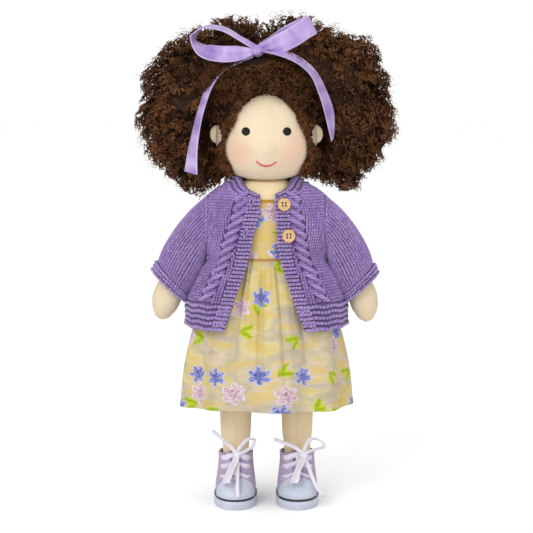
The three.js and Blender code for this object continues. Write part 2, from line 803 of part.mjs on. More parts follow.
// The bow of a lace: a loop up, a loop hanging flat, and two free ends.
// Stops are [x from the middle of the shoe, y, z].
const upright = [0.35, 0.85, 0.4];
const flat = [0.97, -0.1, 0.2];
const slant = [0.5, 0.5, 0.7];
const bowRoutes = {
  right: {
    loop: [
      [1.4, -19, 40.2],
      [5.4, -21, 46.4],
      [10, -23, 51],
      [14.4, -24, 51.6],
      [14, -23.6, 47],
      [9, -22, 42],
      [3, -19.6, 38.4],
    ],
    flap: [
      [0.4, -18.8, 37],
      [-2.6, -26, 31.6],
      [-6, -33, 25.6],
      [-8, -39.6, 20.4],
      [-6.4, -42, 21.4],
      [-2.6, -35, 28.4],
      [0.8, -20.4, 38.6],
    ],
    upEnd: [
      [0.4, -19.4, 39.4],
      [-4, -20.6, 45],
      [-10.4, -22, 51.4],
      [-18, -22, 57.6],
    ],
    downEnd: [
      [1.6, -19.6, 37.4],
      [1.8, -28, 30.4],
      [1.8, -36, 23.4],
      [1.8, -43.4, 17.6],
      [2, -46, 11],
    ],
  },
  left: {
    loop: [
      [4.8, -19, 40.2],
      [6.8, -21, 46.2],
      [11, -23, 51.4],
      [17.6, -25, 50.4],
      [20.4, -25, 46.4],
      [14, -22.4, 43],
      [6.4, -19.6, 38.6],
    ],
    flap: [
      [3.8, -18.8, 37],
      [1, -26, 31.6],
      [-2, -33, 25.6],
      [-4, -39.6, 20.4],
      [-2, -42, 21.4],
      [0.8, -35, 28.4],
      [4.4, -20.4, 38.6],
    ],
    upEnd: [
      [3.8, -19.4, 39.4],
      [-1.6, -20.6, 44],
      [-9.4, -22, 47.6],
      [-18.4, -22, 50.8],
    ],
    downEnd: [
      [5.2, -19.6, 37.4],
      [8.4, -26.6, 30.4],
      [11.6, -32.4, 22.4],
      [15.6, -35, 14.6],
      [20.2, -34, 8.4],
    ],
  },
};

function makeLaceBow(side) {
  const middleX = sides[side] * legX;
  const { loop, flap, upEnd, downEnd } = bowRoutes[side];
  const run = (points, way, width, steps) =>
    band(points.map(([x, y, z]) => [[middleX + x, y, z], way]), width, laceThickness, steps);
  const knot = ellipsoid([middleX + laceKnot.x[side], laceKnot.y, laceKnot.z], laceKnot.half, 8, 5);
  const solid = join(
    knot,
    run(loop, upright, laceWidth, 13),
    run(flap, flat, laceWidth * 1.3, 13),
    run(upEnd, slant, laceWidth, 5),
    run(downEnd, flat, laceWidth * 0.8, 7),
  );
  const shoeRoom = shoeForm(-fit - laceThickness - seam, soleHeight, collarHeight, middleX);
  add(`${side}_lace_bow`, cut(solid, shoeRoom), lace);
}

// Dress: a fitted bodice, and a gathered skirt that hangs in folds
function makeDress() {
  const bodice = cut(
    torsoForm(fit + dressCloth, waistRise + seam, bodiceTop),
    torsoForm(fit, waistRise - past, bodiceTop + past),
  );
  const neck = block(
    [-necklineHalf, -wide, hipHeight + necklineRise],
    [necklineHalf, wide, 2 * wide],
  );
  add("dress_bodice", cut(bodice, neck, shoulderBar(armholeRadius, -wide, wide)), print);

  const skirtForm = (inset, low, high) => {
    const rings = levels(skirtRows, low, high).map((share) => {
      const [halfX, halfY] = rowAt(skirtRows, share);
      const loose = smooth(0.05, 0.8, share);
      return angles(skirtSides).map((t, i) => {
        const wave = Math.cos(foldCount * t + 0.7) + 0.4 * Math.cos(5 * t + 2);
        const gather = gatherDepth * (1 - loose) * (i % 2 ? 1 : -1);
        const grow = foldDepth * loose * wave + gather - inset;
        return vector(
          (halfX + grow) * squared(Math.cos(t), torsoPower),
          (halfY + grow) * squared(Math.sin(t), torsoPower),
          waistHeight - skirtLength * share,
        );
      });
    });
    return loft(rings);
  };
  const overlap = 0.01;
  const hollow = skirtForm(dressCloth, -overlap, 1 + overlap);
  add("dress_skirt", cut(skirtForm(0, 0, 1), hollow), print);
}

// Cardigan: the body shell is cut into a back and two fronts, and the sleeves start at the armholes.
function cardiganForm(grow, low, high) {
  const rings = levels(cardiganRows, low, high).map((rise) => {
    const [halfX, halfY] = rowAt(cardiganRows, rise);
    const [tightX, tightY] = rowAt(torsoRows, rise);
    const [near, hugging, parting, open] = yokeHeights;
    const close = smooth(near, hugging, rise) * (1 - smooth(parting, open, rise));
    const inner = dressCloth + 3 * fit;
    const snug = grow < 0 ? close : 0;
    const reach = (loose, tight) => {
      const free = loose + grow;
      return free + (Math.min(tight + inner, free) - free) * snug;
    };
    const z = hipHeight + rise;
    return oval(reach(halfX, tightX), reach(halfY, tightY), z, cardiganSides, cardiganSquareness);
  });
  return loft(rings);
}

const cardiganLow = cardiganRows[0][0];
const cardiganHigh = cardiganRows.at(-1)[0];

function makeCardigan() {
  const collar = new THREE.BoxGeometry(wide, wide, wide)
    .translate(0, 0, wide / 2)
    .rotateX(Math.atan2(collarDrop, collarDepth))
    .translate(0, 0, hipHeight + cardiganHigh - collarDrop / 2 + collarRise);
  const underarm = shoulderHeight + sleeveRings[0][3] - seam;
  const shell = cut(
    cardiganForm(0, cardiganLow, cardiganHigh),
    cardiganForm(-knit, cardiganLow - past, cardiganHigh + past),
    solidOf(collar),
    headRoom,
  ).intersect(
    join(
      block([-armholePlane, -wide, 0], [armholePlane, wide, 2 * wide]),
      block([-wide, -wide, 0], [wide, wide, underarm]),
    ),
  );
  add("cardigan_back", shell.intersect(block([-wide, seam, 0], [wide, wide, 2 * wide])), wool);
  for (const [side, s] of Object.entries(sides)) {
    const edge = frontEdges[side].map(([rise, x]) => [s * x, hipHeight + rise]);
    const outline = [
      [edge[0][0], 2 * wide],
      ...edge,
      [edge.at(-1)[0], 0],
      [s * wide, 0],
      [s * wide, 2 * wide],
    ];
    add(`cardigan_${side}_front`, shell.intersect(prism(outline, -wide, 0)), wool);
  }
}

function sleeveForm(side, inset, overrun) {
  const s = sides[side];
  const rings = sleeveRings.map(([upperX, upperZ, lowerX, lowerZ, depth], i) => {
    const share = i / (sleeveRings.length - 1);
    const place = (x, z) => armPlace(side, armholePlane + seam + x, z, share);
    const [upper, lower] = [place(upperX, upperZ), place(lowerX, lowerZ)];
    const half = upper.clone().sub(lower).multiplyScalar(0.5);
    const end = i === 0 ? -overrun : i === sleeveRings.length - 1 ? overrun : 0;
    const middle = upper.add(lower).multiplyScalar(0.5);
    middle.add(vector(s * half.z, 0, -Math.abs(half.x)).setLength(end));
    half.setLength(half.length() - inset);
    return angles(sleeveSides).map((t) =>
      half
        .clone()
        .multiplyScalar(Math.cos(t))
        .add(vector(0, (depth - inset) * Math.sin(t), 0))
        .add(middle),
    );
  });
  return loft(rings);
}

function makeSleeve(side) {
  add(`cardigan_${side}_sleeve`, cut(sleeveForm(side, 0, 0), sleeveForm(side, knit, past)), wool);
}

// Wooden buttons on the left front, each sewn on with wool through its four holes
function makeButton(name, [x, rise]) {
  const cloth = (u, h) => {
    const [halfX, halfY] = rowAt(cardiganRows, h);
    return -halfY * (1 - (Math.abs(u) / halfX) ** cardiganSquareness) ** (1 / cardiganSquareness);
  };
  const near = 3;
  const slopeX = cloth(x + near, rise) - cloth(x - near, rise);
  const slopeZ = cloth(x, rise + near) - cloth(x, rise - near);
  const out = vector(slopeX, -2 * near, slopeZ).normalize();
  const lift = 2 * fit + threadRadius;
  const place = vector(x, cloth(x, rise), hipHeight + rise).addScaledVector(out, lift);
  const face = buttonThickness - buttonRim;
  const outline = [
    [0, 0],
    [buttonRadius, 0],
    [buttonRadius, buttonThickness],
    [buttonRadius - buttonRimWidth, buttonThickness],
    [buttonRadius - buttonRimWidth - buttonRim, face],
    [0, face],
  ];
  const across = vector(0, 0, 1).cross(out).normalize();
  const up = out.clone().cross(across);
  const offset = buttonHoleSpacing / 2;
  const corners = [[-1, -1], [-1, 1], [1, 1], [1, -1]].map(([a, b]) =>
    place.clone().addScaledVector(across, a * offset).addScaledVector(up, b * offset),
  );
  const rod = (radius, low, high) => (spot) =>
    turned([[0, low], [radius, low], [radius, high], [0, high]], 5, spot, out);
  const holes = corners.map(rod(buttonHole, -past, buttonThickness));
  add(name, cut(turned(outline, 12, place, out), ...holes), beech);
  const bottom = -fit - threadRadius;
  const under = turned(
    [[0, bottom], [2 * offset, bottom], [2 * offset, -fit], [0, -fit]], 8, place, out,
  );
  add(`${name}_thread`, join(under, ...corners.map(rod(threadRadius, bottom, face + threadStand))), wool);
}

// Puffs of curls. They leave room for the cardigan, the sleeves as they swing, and the ribbon's tails.
function makePuff(side) {
  const s = sides[side];
  const [cx, cy, cz] = puffCentre;
  const lean = THREE.MathUtils.degToRad(-s * puffLean);
  const form = new THREE.SphereGeometry(1, 16, 11).rotateX(Math.PI / 2).scale(...puffHalf);
  const whole = solidOf(form.rotateY(lean).translate(s * cx, cy, chinHeight + cz));
  const half = sideBlock(s, seam / 2);
  const sleeveDepth = sleeveRings[0][4] + sleeveRoom;
  const swing = s > 0
    ? shoulderBar(sleeveDepth, armholePlane - 1, wide)
    : shoulderBar(sleeveDepth, -wide, 1 - armholePlane);
  const rooms = [
    wigForm(2 * fit + ribbonThickness),
    headRoom,
    swing,
    cardiganForm(fit, cardiganLow, cardiganHigh),
    band(tailStops[side], ribbonWidth + 2 * fit, ribbonThickness + 2 * fit, 16),
    earView(s),
    ...earRooms,
  ];
  add(`hair_${side}`, cut(whole.intersect(half), ...rooms), curls);
}

makeTorso();
makeFace();
makeNeckThread();
makeCap();
makeRibbon();
makeDress();
makeCardigan();
for (const [name, place] of Object.entries(buttonPlaces)) makeButton(name, place);
for (const side of Object.keys(sides)) {
  makePuff(side);
  makeArm(side);
  makeSleeve(side);
  makeLeg(side);
  makeSole(side);
  makeUpper(side);
  makeLace(side);
  makeLaceBow(side);
}

// The origin is on the ground under the middle of the doll's box.
const box = new THREE.Box3().setFromObject(doll);
const centre = box.getCenter(vector(0, 0, 0));
doll.position.set(-centre.x, -centre.y, -box.min.z);

export default doll;
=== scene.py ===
# The cloth doll's visible pieces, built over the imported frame. Sizes are in millimetres, with y
# measured from the middle of the body; Shape.make turns them into metres in the frame.

import json
import math

import bpy
import numpy as np
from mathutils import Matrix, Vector
from mathutils.geometry import delaunay_2d_cdt


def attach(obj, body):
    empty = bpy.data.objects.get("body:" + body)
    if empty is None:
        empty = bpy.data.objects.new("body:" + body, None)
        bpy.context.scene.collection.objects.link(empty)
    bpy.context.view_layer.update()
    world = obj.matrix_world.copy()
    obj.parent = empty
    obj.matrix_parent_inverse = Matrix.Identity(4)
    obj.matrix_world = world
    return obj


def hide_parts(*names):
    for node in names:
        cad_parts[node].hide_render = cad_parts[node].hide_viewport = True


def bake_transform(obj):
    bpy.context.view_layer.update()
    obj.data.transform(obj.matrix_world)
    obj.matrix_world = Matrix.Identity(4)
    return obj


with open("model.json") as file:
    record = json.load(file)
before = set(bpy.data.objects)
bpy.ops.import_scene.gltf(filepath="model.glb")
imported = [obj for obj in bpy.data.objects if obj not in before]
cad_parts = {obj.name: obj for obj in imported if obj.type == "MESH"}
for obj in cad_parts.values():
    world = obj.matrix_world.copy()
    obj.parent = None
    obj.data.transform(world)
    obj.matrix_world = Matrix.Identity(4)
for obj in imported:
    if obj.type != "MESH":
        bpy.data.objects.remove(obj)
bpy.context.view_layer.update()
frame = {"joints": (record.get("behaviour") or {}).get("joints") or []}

MM = 0.001
AXIS_Y = frame["joints"][0]["pos_m"][1]  # the shoulders and hips turn on a line at this y
SIDES = {"left": 1, "right": -1}
HIP = 142
SHOULDER = 222
WAIST = 190
CHIN = 250.9
LEG_X = 24
FRONT = 1.5 * math.pi  # the way round, from the doll's left, at which its front lies


def metres(x, y, z):
    """A place in the frame."""
    return Vector((x * MM, y * MM + AXIS_Y, z * MM))


def aim(made, place, target):
    """Puts a camera or a lamp in its place, turned towards a target."""
    made.location = metres(*place)
    made.rotation_euler = (metres(*target) - made.location).to_track_quat("-Z", "Y").to_euler()
    bpy.context.scene.collection.objects.link(made)


# Camera
CAMERA_AWAY = 1488.8
CAMERA_HEIGHT = 365.3
LOOK_HEIGHT = 182.5
LENS = 130.7

camera = bpy.data.objects.new("camera", bpy.data.cameras.new("camera"))
camera.data.lens = LENS
aim(camera, (0, -CAMERA_AWAY, CAMERA_HEIGHT), (0, 0, LOOK_HEIGHT))
bpy.context.scene.camera = camera
bpy.context.scene.view_settings.view_transform = "Standard"


# Node materials
def paint(red, green, blue):
    """A colour given as it shows on a screen, 0 to 255, as a shader takes it."""
    parts = [c / 255 for c in (red, green, blue)]
    return (*[c / 12.92 if c <= 0.04045 else ((c + 0.055) / 1.055) ** 2.4 for c in parts], 1)


class Shader:
    """A material whose nodes are added one by one; each call returns the new node's first output.
    The colours of ramps and mixes are given as they show on a screen."""

    def __init__(self, name, roughness=0.8, **fixed):
        self.material = bpy.data.materials.new(name)
        self.material.use_nodes = True
        self.tree = self.material.node_tree
        self.surface = self.tree.nodes["Principled BSDF"]
        self.surface.inputs["Roughness"].default_value = roughness
        for socket, value in fixed.items():
            self.surface.inputs[socket.replace("_", " ")].default_value = value

    def node(self, kind, out=0, settings=None, **inputs):
        made = self.tree.nodes.new(f"ShaderNode{kind}")
        for key, value in (settings or {}).items():
            setattr(made, key, value)
        for key, value in inputs.items():
            socket = made.inputs[int(key[1:]) if key[1:].isdigit() else key.replace("_", " ")]
            if isinstance(value, bpy.types.NodeSocket):
                self.tree.links.new(value, socket)
            else:
                socket.default_value = value
        return made.outputs[out]

    def place(self):
        return self.node("TexCoord", "Object")

    def uv(self):
        return self.node("UVMap", settings={"uv_map": "cloth"})

    def tone(self):
        return self.node("Attribute", "Fac", settings={"attribute_name": "tone"})

    def part(self, vector, axis):
        return self.node("SeparateXYZ", "XYZ".index(axis), Vector=vector)

    def vector(self, x=0.0, y=0.0, z=0.0):
        return self.node("CombineXYZ", X=x, Y=y, Z=z)

    def math(self, operation, a, b=0.0, c=0.0):
        return self.node("Math", settings={"operation": operation}, i0=a, i1=b, i2=c)

    def plus(self, a, b):
        return self.math("ADD", a, b)

    def less(self, a, b):
        return self.math("SUBTRACT", a, b)

    def times(self, a, b):
        return self.math("MULTIPLY", a, b)

    def scaled(self, value, scale, shift):
        return self.math("MULTIPLY_ADD", value, scale, shift)

    def size(self, value):
        return self.math("ABSOLUTE", value)

    def over(self, value, limit):
        return self.math("GREATER_THAN", value, limit)

    def vectors(self, operation, *values, out=0, **more):
        values = {f"i{k}": value for k, value in enumerate(values)}
        return self.node("VectorMath", out, {"operation": operation}, **values, **more)

    def noise(self, vector, scale, detail=2.0, out="Fac"):
        return self.node("TexNoise", out, Vector=vector, Scale=scale, Detail=detail)

    def waves(self, value, pitch):
        """Even waves from 0 to 1, one each pitch metres of the value."""
        return self.scaled(self.math("SINE", self.times(value, 2 * math.pi / pitch)), 0.5, 0.5)

    def within(self, value, low, high):
        """From 0 at low to 1 at high, smoothly."""
        settings = {"interpolation_type": "SMOOTHSTEP"}
        return self.node("MapRange", settings=settings, Value=value, From_Min=low, From_Max=high)

    def ramp(self, value, *stops):
        """Straight steps between stops, which are (place, colour)."""
        found = self.node("ValToRGB", Fac=value)
        steps = found.node.color_ramp.elements
        for i, (place, colour) in enumerate(stops):
            step = steps[i] if i < 2 else steps.new(place)
            step.position = place
            step.color = paint(*colour)
        return found

    def mix(self, share, first, second):
        colours = [paint(*value) if isinstance(value, tuple) else value for value in (first, second)]
        return self.node("Mix", 2, {"data_type": "RGBA"}, i0=share, i6=colours[0], i7=colours[1])

    def colour(self, value):
        self.tree.links.new(value, self.surface.inputs["Base Color"])

    def rough(self, value, low, high):
        found = self.node("MapRange", Value=value, To_Min=low, To_Max=high)
        self.tree.links.new(found, self.surface.inputs["Roughness"])

    def bump(self, height, depth):
        """A relief of at most depth millimetres."""
        found = self.node("Bump", Height=height, Distance=depth * MM, Strength=1.0)
        self.tree.links.new(found, self.surface.inputs["Normal"])


# Pitches, reaches and distances in materials are in metres
JERSEY_RIB = 0.0011
JERSEY_ROW = 0.0009
CHEEK = (21, -32, 22)
BLUSH_REACH = 0.019
PLY = 0.0006
RIBBON_WIDTH = 15
SATIN_THREAD = 0.0005
SELVEDGE = (0.0062, 0.0069)
WOOL_SHADE_REACH = 0.014
COTTON_THREAD = 0.0006
BODICE_CLOTH = (0.188, 0.192)


def make_skin(name, low, high, blush=False, **fixed):
    """Stretched cotton jersey, with fine ribs up and down it."""
    s = Shader(name, 0.82, **fixed, Sheen_Weight=0.25, Sheen_Roughness=0.5, Specular_IOR_Level=0.25)
    place = s.place()
    ribs = s.waves(s.part(place, "X"), JERSEY_RIB)
    rows = s.waves(s.part(place, "Z"), JERSEY_ROW)
    base = s.ramp(s.noise(place, 60), (0.3, low), (0.7, high))
    if blush:
        for side in SIDES.values():
            cheek = metres(side * CHEEK[0], CHEEK[1], CHIN + CHEEK[2])
            away = s.vectors("DISTANCE", place, cheek, out="Value")
            base = s.mix(s.times(s.within(away, BLUSH_REACH, 0.002), 0.34), base, (232, 150, 128))
    s.colour(s.mix(s.times(ribs, 0.06), base, (190, 150, 110)))
    s.bump(s.plus(s.times(ribs, rows), s.noise(place, 900)), 0.09)
    return s.material


def make_thread(name, light, dark, roughness=0.55):
    """Twisted thread: fine slanting plies, lighter on their crests and darker in the grooves between them, a
    painted shade.
    """
    s = Shader(name, roughness, Specular_IOR_Level=0.3)
    place = s.place()
    plies = s.waves(s.plus(s.part(place, "X"), s.part(place, "Z")), PLY)
    # Painted shade: the grooves between the plies are darker.
    s.colour(s.mix(plies, dark, light))
    s.bump(s.plus(plies, s.noise(place, 1500)), 0.08)
    return s.material


def make_hair(name, dark, middle, tip):
    """Mohair: the tone of each curl runs from its dark root to its lighter end."""
    s = Shader(name, 0.6, Specular_IOR_Level=0.12)
    place = s.place()
    mottle = s.scaled(s.noise(place, 90), 0.5, -0.25)
    s.colour(s.ramp(s.plus(s.tone(), mottle), (0.0, dark), (1.0, tip), (0.45, middle)))
    s.bump(s.noise(place, 2500), 0.08)
    return s.material


def make_satin():
    """Satin ribbon: a weave across it, a firm pale selvedge at each edge, and light and dark bands along it,
    a painted sheen.
    """
    s = Shader("satin", 0.3, Sheen_Weight=0.2, Sheen_Roughness=0.3, Anisotropic=0.5)
    uv = s.uv()
    across, along = s.part(uv, "X"), s.part(uv, "Y")
    edge = s.within(s.size(s.less(across, RIBBON_WIDTH / 2 * MM)), *SELVEDGE)
    # Painted sheen: low bands of lighter and darker colour along the ribbon stand for the satin's shine.
    cloud = s.noise(s.vector(s.times(across, 0.25), along), 75)
    base = s.ramp(cloud, (0.32, (148, 117, 188)), (0.68, (204, 182, 230)))
    s.colour(s.mix(s.times(edge, 0.6), base, (212, 194, 238)))
    s.rough(s.noise(s.vector(s.times(across, 0.02), along), 4000), 0.28, 0.44)
    threads = s.waves(along, SATIN_THREAD)
    s.bump(s.plus(s.times(threads, 0.4), s.times(edge, 1.5)), 0.08)
    return s.material


def make_wool():
    """Wool yarn: the tone carries painted light and shade, lighter on the stitches and darker on the ground
    behind them; ambient occlusion darkens the creases and the body under the sleeves, a painted shade.
    """
    s = Shader("wool", 0.95, Sheen_Weight=0.55, Sheen_Roughness=0.6, Specular_IOR_Level=0.15)
    place = s.place()
    cloud = s.scaled(s.noise(place, 70), 0.3, -0.15)
    # Painted shade: ambient occlusion darkens the colour in creases and between the sleeves and the body.
    occlusion_for_painted_shade = s.node("AmbientOcclusion", "AO", {"samples": 6}, Distance=WOOL_SHADE_REACH)
    shaded = s.scaled(occlusion_for_painted_shade, 0.28, s.less(s.tone(), 0.22))
    shade = s.plus(shaded, cloud)
    s.colour(s.ramp(shade, (0.0, (52, 32, 84)), (1.0, (186, 156, 216)), (0.5, (131, 98, 172))))
    s.bump(s.noise(place, 2200, 3.0), 0.3)
    return s.material


def make_print():
    """Cotton with loose washes of ochre, sand and rose, under scattered round flowers and sprigs."""
    s = Shader("print", 0.85, Sheen_Weight=0.12, Specular_IOR_Level=0.2)
    uv = s.uv()
    ochre, sand, rim_white = (218, 190, 98), (174, 160, 142), (218, 214, 232)
    seam, bodice, heart_yellow = (186, 140, 44), (222, 190, 98), (232, 206, 110)
    soft = s.vectors("MULTIPLY_ADD", s.noise(uv, 90, 3.0, "Color"), (0.006,) * 3, uv)
    wash = s.node("TexNoise", Vector=soft, Scale=22.0, Detail=3.0, Roughness=0.5)
    ground = s.ramp(
        wash, (0.3, (208, 184, 116)), (0.72, (204, 172, 154)),
        (0.42, (218, 203, 150)), (0.52, (192, 180, 158)), (0.62, (214, 199, 166)),
    )
    strokes = s.noise(s.vector(s.times(s.part(soft, "X"), 0.3), s.part(soft, "Y")), 150, 4.0)
    ground = s.mix(s.times(s.within(strokes, 0.5, 0.6), 0.6), ground, ochre)
    ground = s.mix(s.times(s.within(strokes, 0.44, 0.36), 0.4), ground, sand)
    ground = s.mix(s.times(s.within(s.part(uv, "Y"), *BODICE_CLOTH), 0.6), ground, bodice)
    rough = s.vectors("MULTIPLY_ADD", s.noise(uv, 420, 2.0, "Color"), (0.004,) * 3, uv)

    def cells(scale, shift, spread):
        """Each cell's own random colour, and the place seen from the middle of the cell."""
        moved = s.vectors("ADD", rough, (shift, shift * 0.6, 0))
        flat = {"voronoi_dimensions": "2D"}
        found = s.node("TexVoronoi", "Color", flat, Vector=moved, Scale=scale, Randomness=spread)
        here = s.vectors("SCALE", moved, Scale=scale)
        middle = s.vectors("SCALE", found.node.outputs["Position"], Scale=scale)
        return found, s.vectors("SUBTRACT", here, middle)

    # Sprigs: two pointed leaves on one stem
    chance, seen = cells(38, 0.017, 0.75)
    spin = s.times(s.part(chance, "X"), 6.28)
    kept = s.over(s.part(chance, "Y"), 0.35)
    for angle in (0.0, 0.9):
        about = {"rotation_type": "Z_AXIS"}
        leaf = s.node("VectorRotate", 0, about, Vector=seen, Angle=s.plus(spin, angle))
        along, off = s.less(s.part(leaf, "X"), 0.2), s.size(s.part(leaf, "Y"))
        inside = s.less(s.scaled(s.times(along, along), -1.9, 0.105), off)
        shade = s.ramp(off, (0.0, (142, 160, 30)), (0.05, (186, 204, 44)))
        ground = s.mix(s.times(s.within(inside, 0.0, 0.02), kept), ground, shade)

    # Flowers: six round petals, streaked from a yellow middle
    for scale, shift, threshold, light, dark in (
        (30, 0.041, 0.42, (230, 208, 214), (164, 116, 142)),
        (33, 0.0, 0.34, (160, 166, 222), (44, 46, 134)),
    ):
        chance, seen = cells(scale, shift, 0.8)
        kept = s.over(s.part(chance, "Y"), threshold)
        away = s.vectors("LENGTH", seen, out="Value")
        angle = s.math("ARCTAN2", s.part(seen, "Y"), s.part(seen, "X"))
        turn = s.scaled(s.part(chance, "X"), 6.28, s.times(angle, 6.0))
        lobes = s.size(s.math("COSINE", s.times(turn, 0.5)))
        reach = s.scaled(s.math("POWER", lobes, 0.6), 0.15, 0.12)
        streaks = s.noise(s.vector(s.times(angle, 1.6), s.times(away, 9.0)), 3.0, 3.0)
        depth = s.scaled(s.math("DIVIDE", away, reach), 0.5, s.scaled(streaks, 2.6, -0.8))
        from_edge = s.less(reach, away)
        petals = s.ramp(depth, (0.45, dark), (1.1, light))
        petals = s.mix(s.times(s.within(from_edge, 0.05, 0.015), 0.7), petals, rim_white)
        ground = s.mix(s.times(s.within(from_edge, 0.0, 0.02), kept), ground, petals)
        ground = s.mix(s.times(s.within(away, 0.055, 0.035), kept), ground, heart_yellow)

    s.colour(s.mix(s.tone(), ground, seam))
    warp, weft = (s.waves(s.part(uv, axis), COTTON_THREAD) for axis in "XY")
    s.bump(s.plus(s.math("MAXIMUM", warp, weft), s.noise(uv, 500)), 0.06)
    return s.material


def make_wood():
    """Turned beech: long grain with small dark flecks."""
    s = Shader("wood", 0.5, Coat_Weight=0.15, Coat_Roughness=0.4)
    stretched = s.node("Mapping", Vector=s.place(), Scale=(160.0, 400.0, 900.0))
    grain = s.noise(stretched, 2.0, 4.0)
    flecks = s.within(s.noise(stretched, 9.0, 1.0), 0.66, 0.74)
    base = s.ramp(grain, (0.3, (202, 158, 100)), (0.7, (232, 196, 142)))
    s.colour(s.mix(s.times(flecks, 0.5), base, (140, 96, 52)))
    s.rough(grain, 0.42, 0.6)
    s.bump(grain, 0.06)
    return s.material


def make_cloudy(name, low, high, roughness, spread, cloud, fine, depth, **fixed):
    """A smooth stuff, unevenly coloured and dulled in clouds, with a fine grain."""
    s = Shader(name, roughness, **fixed)
    place = s.place()
    patches = s.noise(place, *cloud)
    s.colour(s.ramp(patches, (0.3, low), (0.7, high)))
    s.rough(patches, *spread)
    s.bump(s.noise(place, fine), depth)
    return s.material


def make_weave(name, light, dark, pitch, depth):
    """Plain weave on the piece's own cloth coordinates, its raised crossings lighter and its low ones darker,
    a painted shade. The tone marks seams and stitches.
    """
    s = Shader(name, 0.9, Sheen_Weight=0.2, Specular_IOR_Level=0.2)
    uv = s.uv()
    warp, weft = (s.waves(s.part(uv, axis), pitch) for axis in "XY")
    raised = s.plus(s.times(warp, weft), s.times(s.less(1.0, warp), s.less(1.0, weft)))
    mottle = s.scaled(s.noise(uv, 260, 3.0), 0.7, -0.2)
    # Painted shade: the low crossings of the weave are darker, the raised ones lighter.
    base = s.mix(s.plus(s.times(raised, 0.6), mottle), dark, light)
    s.colour(s.mix(s.times(s.tone(), 0.5), base, dark))
    s.bump(raised, depth)
    return s.material


SKIN = make_skin("jersey", (231, 211, 180), (239, 220, 190), blush=True)
# Partly painted light: the limbs' jersey is its own tan, made lighter to offset the skirt's shade on the
# legs.
LIMB = make_skin("limb_jersey", (236, 213, 172), (244, 224, 184))
ARM = make_skin("arm_jersey", (222, 204, 172), (231, 214, 184))
# Painted light: the ear's skin is lighter than the face's and glows faintly, to lift the shade that the hair
# casts round it.
GLOWING_EAR_SKIN = make_skin(
    "ear_jersey_glow", (242, 222, 190), (248, 230, 202),
    Emission_Color=paint(236, 206, 168), Emission_Strength=0.16,
)
EYE_THREAD = make_thread("eye_thread", (20, 17, 17), (5, 4, 4), 0.4)
MOUTH_THREAD = make_thread("mouth_thread", (224, 122, 118), (200, 92, 92))
NECK_THREAD = make_thread("neck_thread", (214, 176, 126), (170, 124, 78))
HAIR = make_hair("mohair", (16, 8, 4), (66, 38, 21), (142, 94, 56))
FRINGE = make_hair("fringe_mohair", (28, 14, 7), (90, 52, 28), (160, 106, 64))
SATIN = make_satin()
WOOL = make_wool()
PRINT = make_print()
WOOD = make_wood()
RUBBER = make_cloudy(
    "rubber", (190, 196, 212), (206, 212, 226), 0.42, (0.32, 0.54), (80,), 1800, 0.05,
    Coat_Weight=0.1, Coat_Roughness=0.35,
)
BLACK_RUBBER = make_cloudy(
    "black_rubber", (14, 14, 16), (30, 30, 33), 0.45, (0.35, 0.57), (80,), 1800, 0.05,
    Coat_Weight=0.1, Coat_Roughness=0.35,
)
CANVAS = make_weave("canvas", (214, 200, 226), (152, 130, 174), 0.0009, 0.12)
LACE = make_weave("lace", (255, 253, 255), (224, 219, 236), 0.0008, 0.14)
BRASS = make_cloudy(
    "brass", (196, 150, 78), (232, 196, 120), 0.32, (0.22, 0.45), (900, 3.0), 3000, 0.02, Metallic=1.0,
)


# Shapes
def xyz(x, y, z):
    """Points from their coordinates, which are spread out to one shape."""
    return np.stack(np.broadcast_arrays(x, y, z), -1)


def angles(count):
    """Even steps once round."""
    return np.arange(count) * 2 * np.pi / count


def globe(rows, columns, pole):
    """The angles down from the top, as a column that keeps off the poles, and round, as a row."""
    return np.linspace(pole, np.pi - pole, rows)[:, None], angles(columns)[None, :]


def pairs(columns, rows):
    """Every pair of a column and a row, as two long lists."""
    return [found.ravel() for found in np.meshgrid(columns, rows)]


def bell(value, width):
    """From 1 at 0 down to 0 away from it, over about the width."""
    return np.exp(-((value / width) ** 2))


def squared(value, power):
    """A cosine or sine, pushed outwards into the corners of a rounder or squarer ring."""
    return np.sign(value) * np.abs(value) ** (2 / power)


def smooth(low, high, value):
    """From 0 at low to 1 at high, level at both ends."""
    share = np.clip((np.asarray(value, float) - low) / (high - low), 0, 1)
    return share * share * (3 - 2 * share)


def unit(vectors):
    return vectors / np.maximum(np.linalg.norm(vectors, axis=-1, keepdims=True), 1e-9)


def length_along(line):
    """How far along a line each of its points is."""
    return np.concatenate([[0], np.cumsum(np.linalg.norm(np.diff(line, axis=0), axis=1))])


def row_at(rows, key):
    """The other columns of a table at any value of its first one, on smooth curves between rows."""
    table = np.array(rows, float)
    table = table[np.argsort(table[:, 0])]
    keys, values = table[:, 0], table[:, 1:]
    slopes = np.gradient(values, keys, axis=0)
    key = np.clip(np.asarray(key, float), keys[0], keys[-1])
    i = np.clip(np.searchsorted(keys, key, side="right") - 1, 0, len(keys) - 2)
    step = (keys[i + 1] - keys[i])[..., None]
    t = (key[..., None] - keys[i][..., None]) / step
    return (
        values[i] * (1 + 2 * t) * (1 - t) ** 2 + values[i + 1] * t * t * (3 - 2 * t)
        + step * (slopes[i] * t * (1 - t) ** 2 - slopes[i + 1] * t * t * (1 - t))
    )


def columns_at(rows, key):
    """The same, as one array for each of the other columns."""
    return np.moveaxis(row_at(rows, key), -1, 0)


def route(stops, count):
    """Even steps along a smooth line through stops, given with any number of columns (x, y, z first)."""
    stops = np.array(stops, float)
    keys = length_along(stops[:, :3])
    return row_at(np.column_stack([keys, stops]), np.linspace(0, keys[-1], count))


def grid(rows, columns, around=False):
    """The faces of a grid of points."""
    i = np.arange(rows - 1)[:, None] * columns
    j = np.arange(columns if around else columns - 1)[None, :]
    k = (j + 1) % columns
    return np.stack([i + j, i + k, i + k + columns, i + j + columns], -1).reshape(-1, 4)


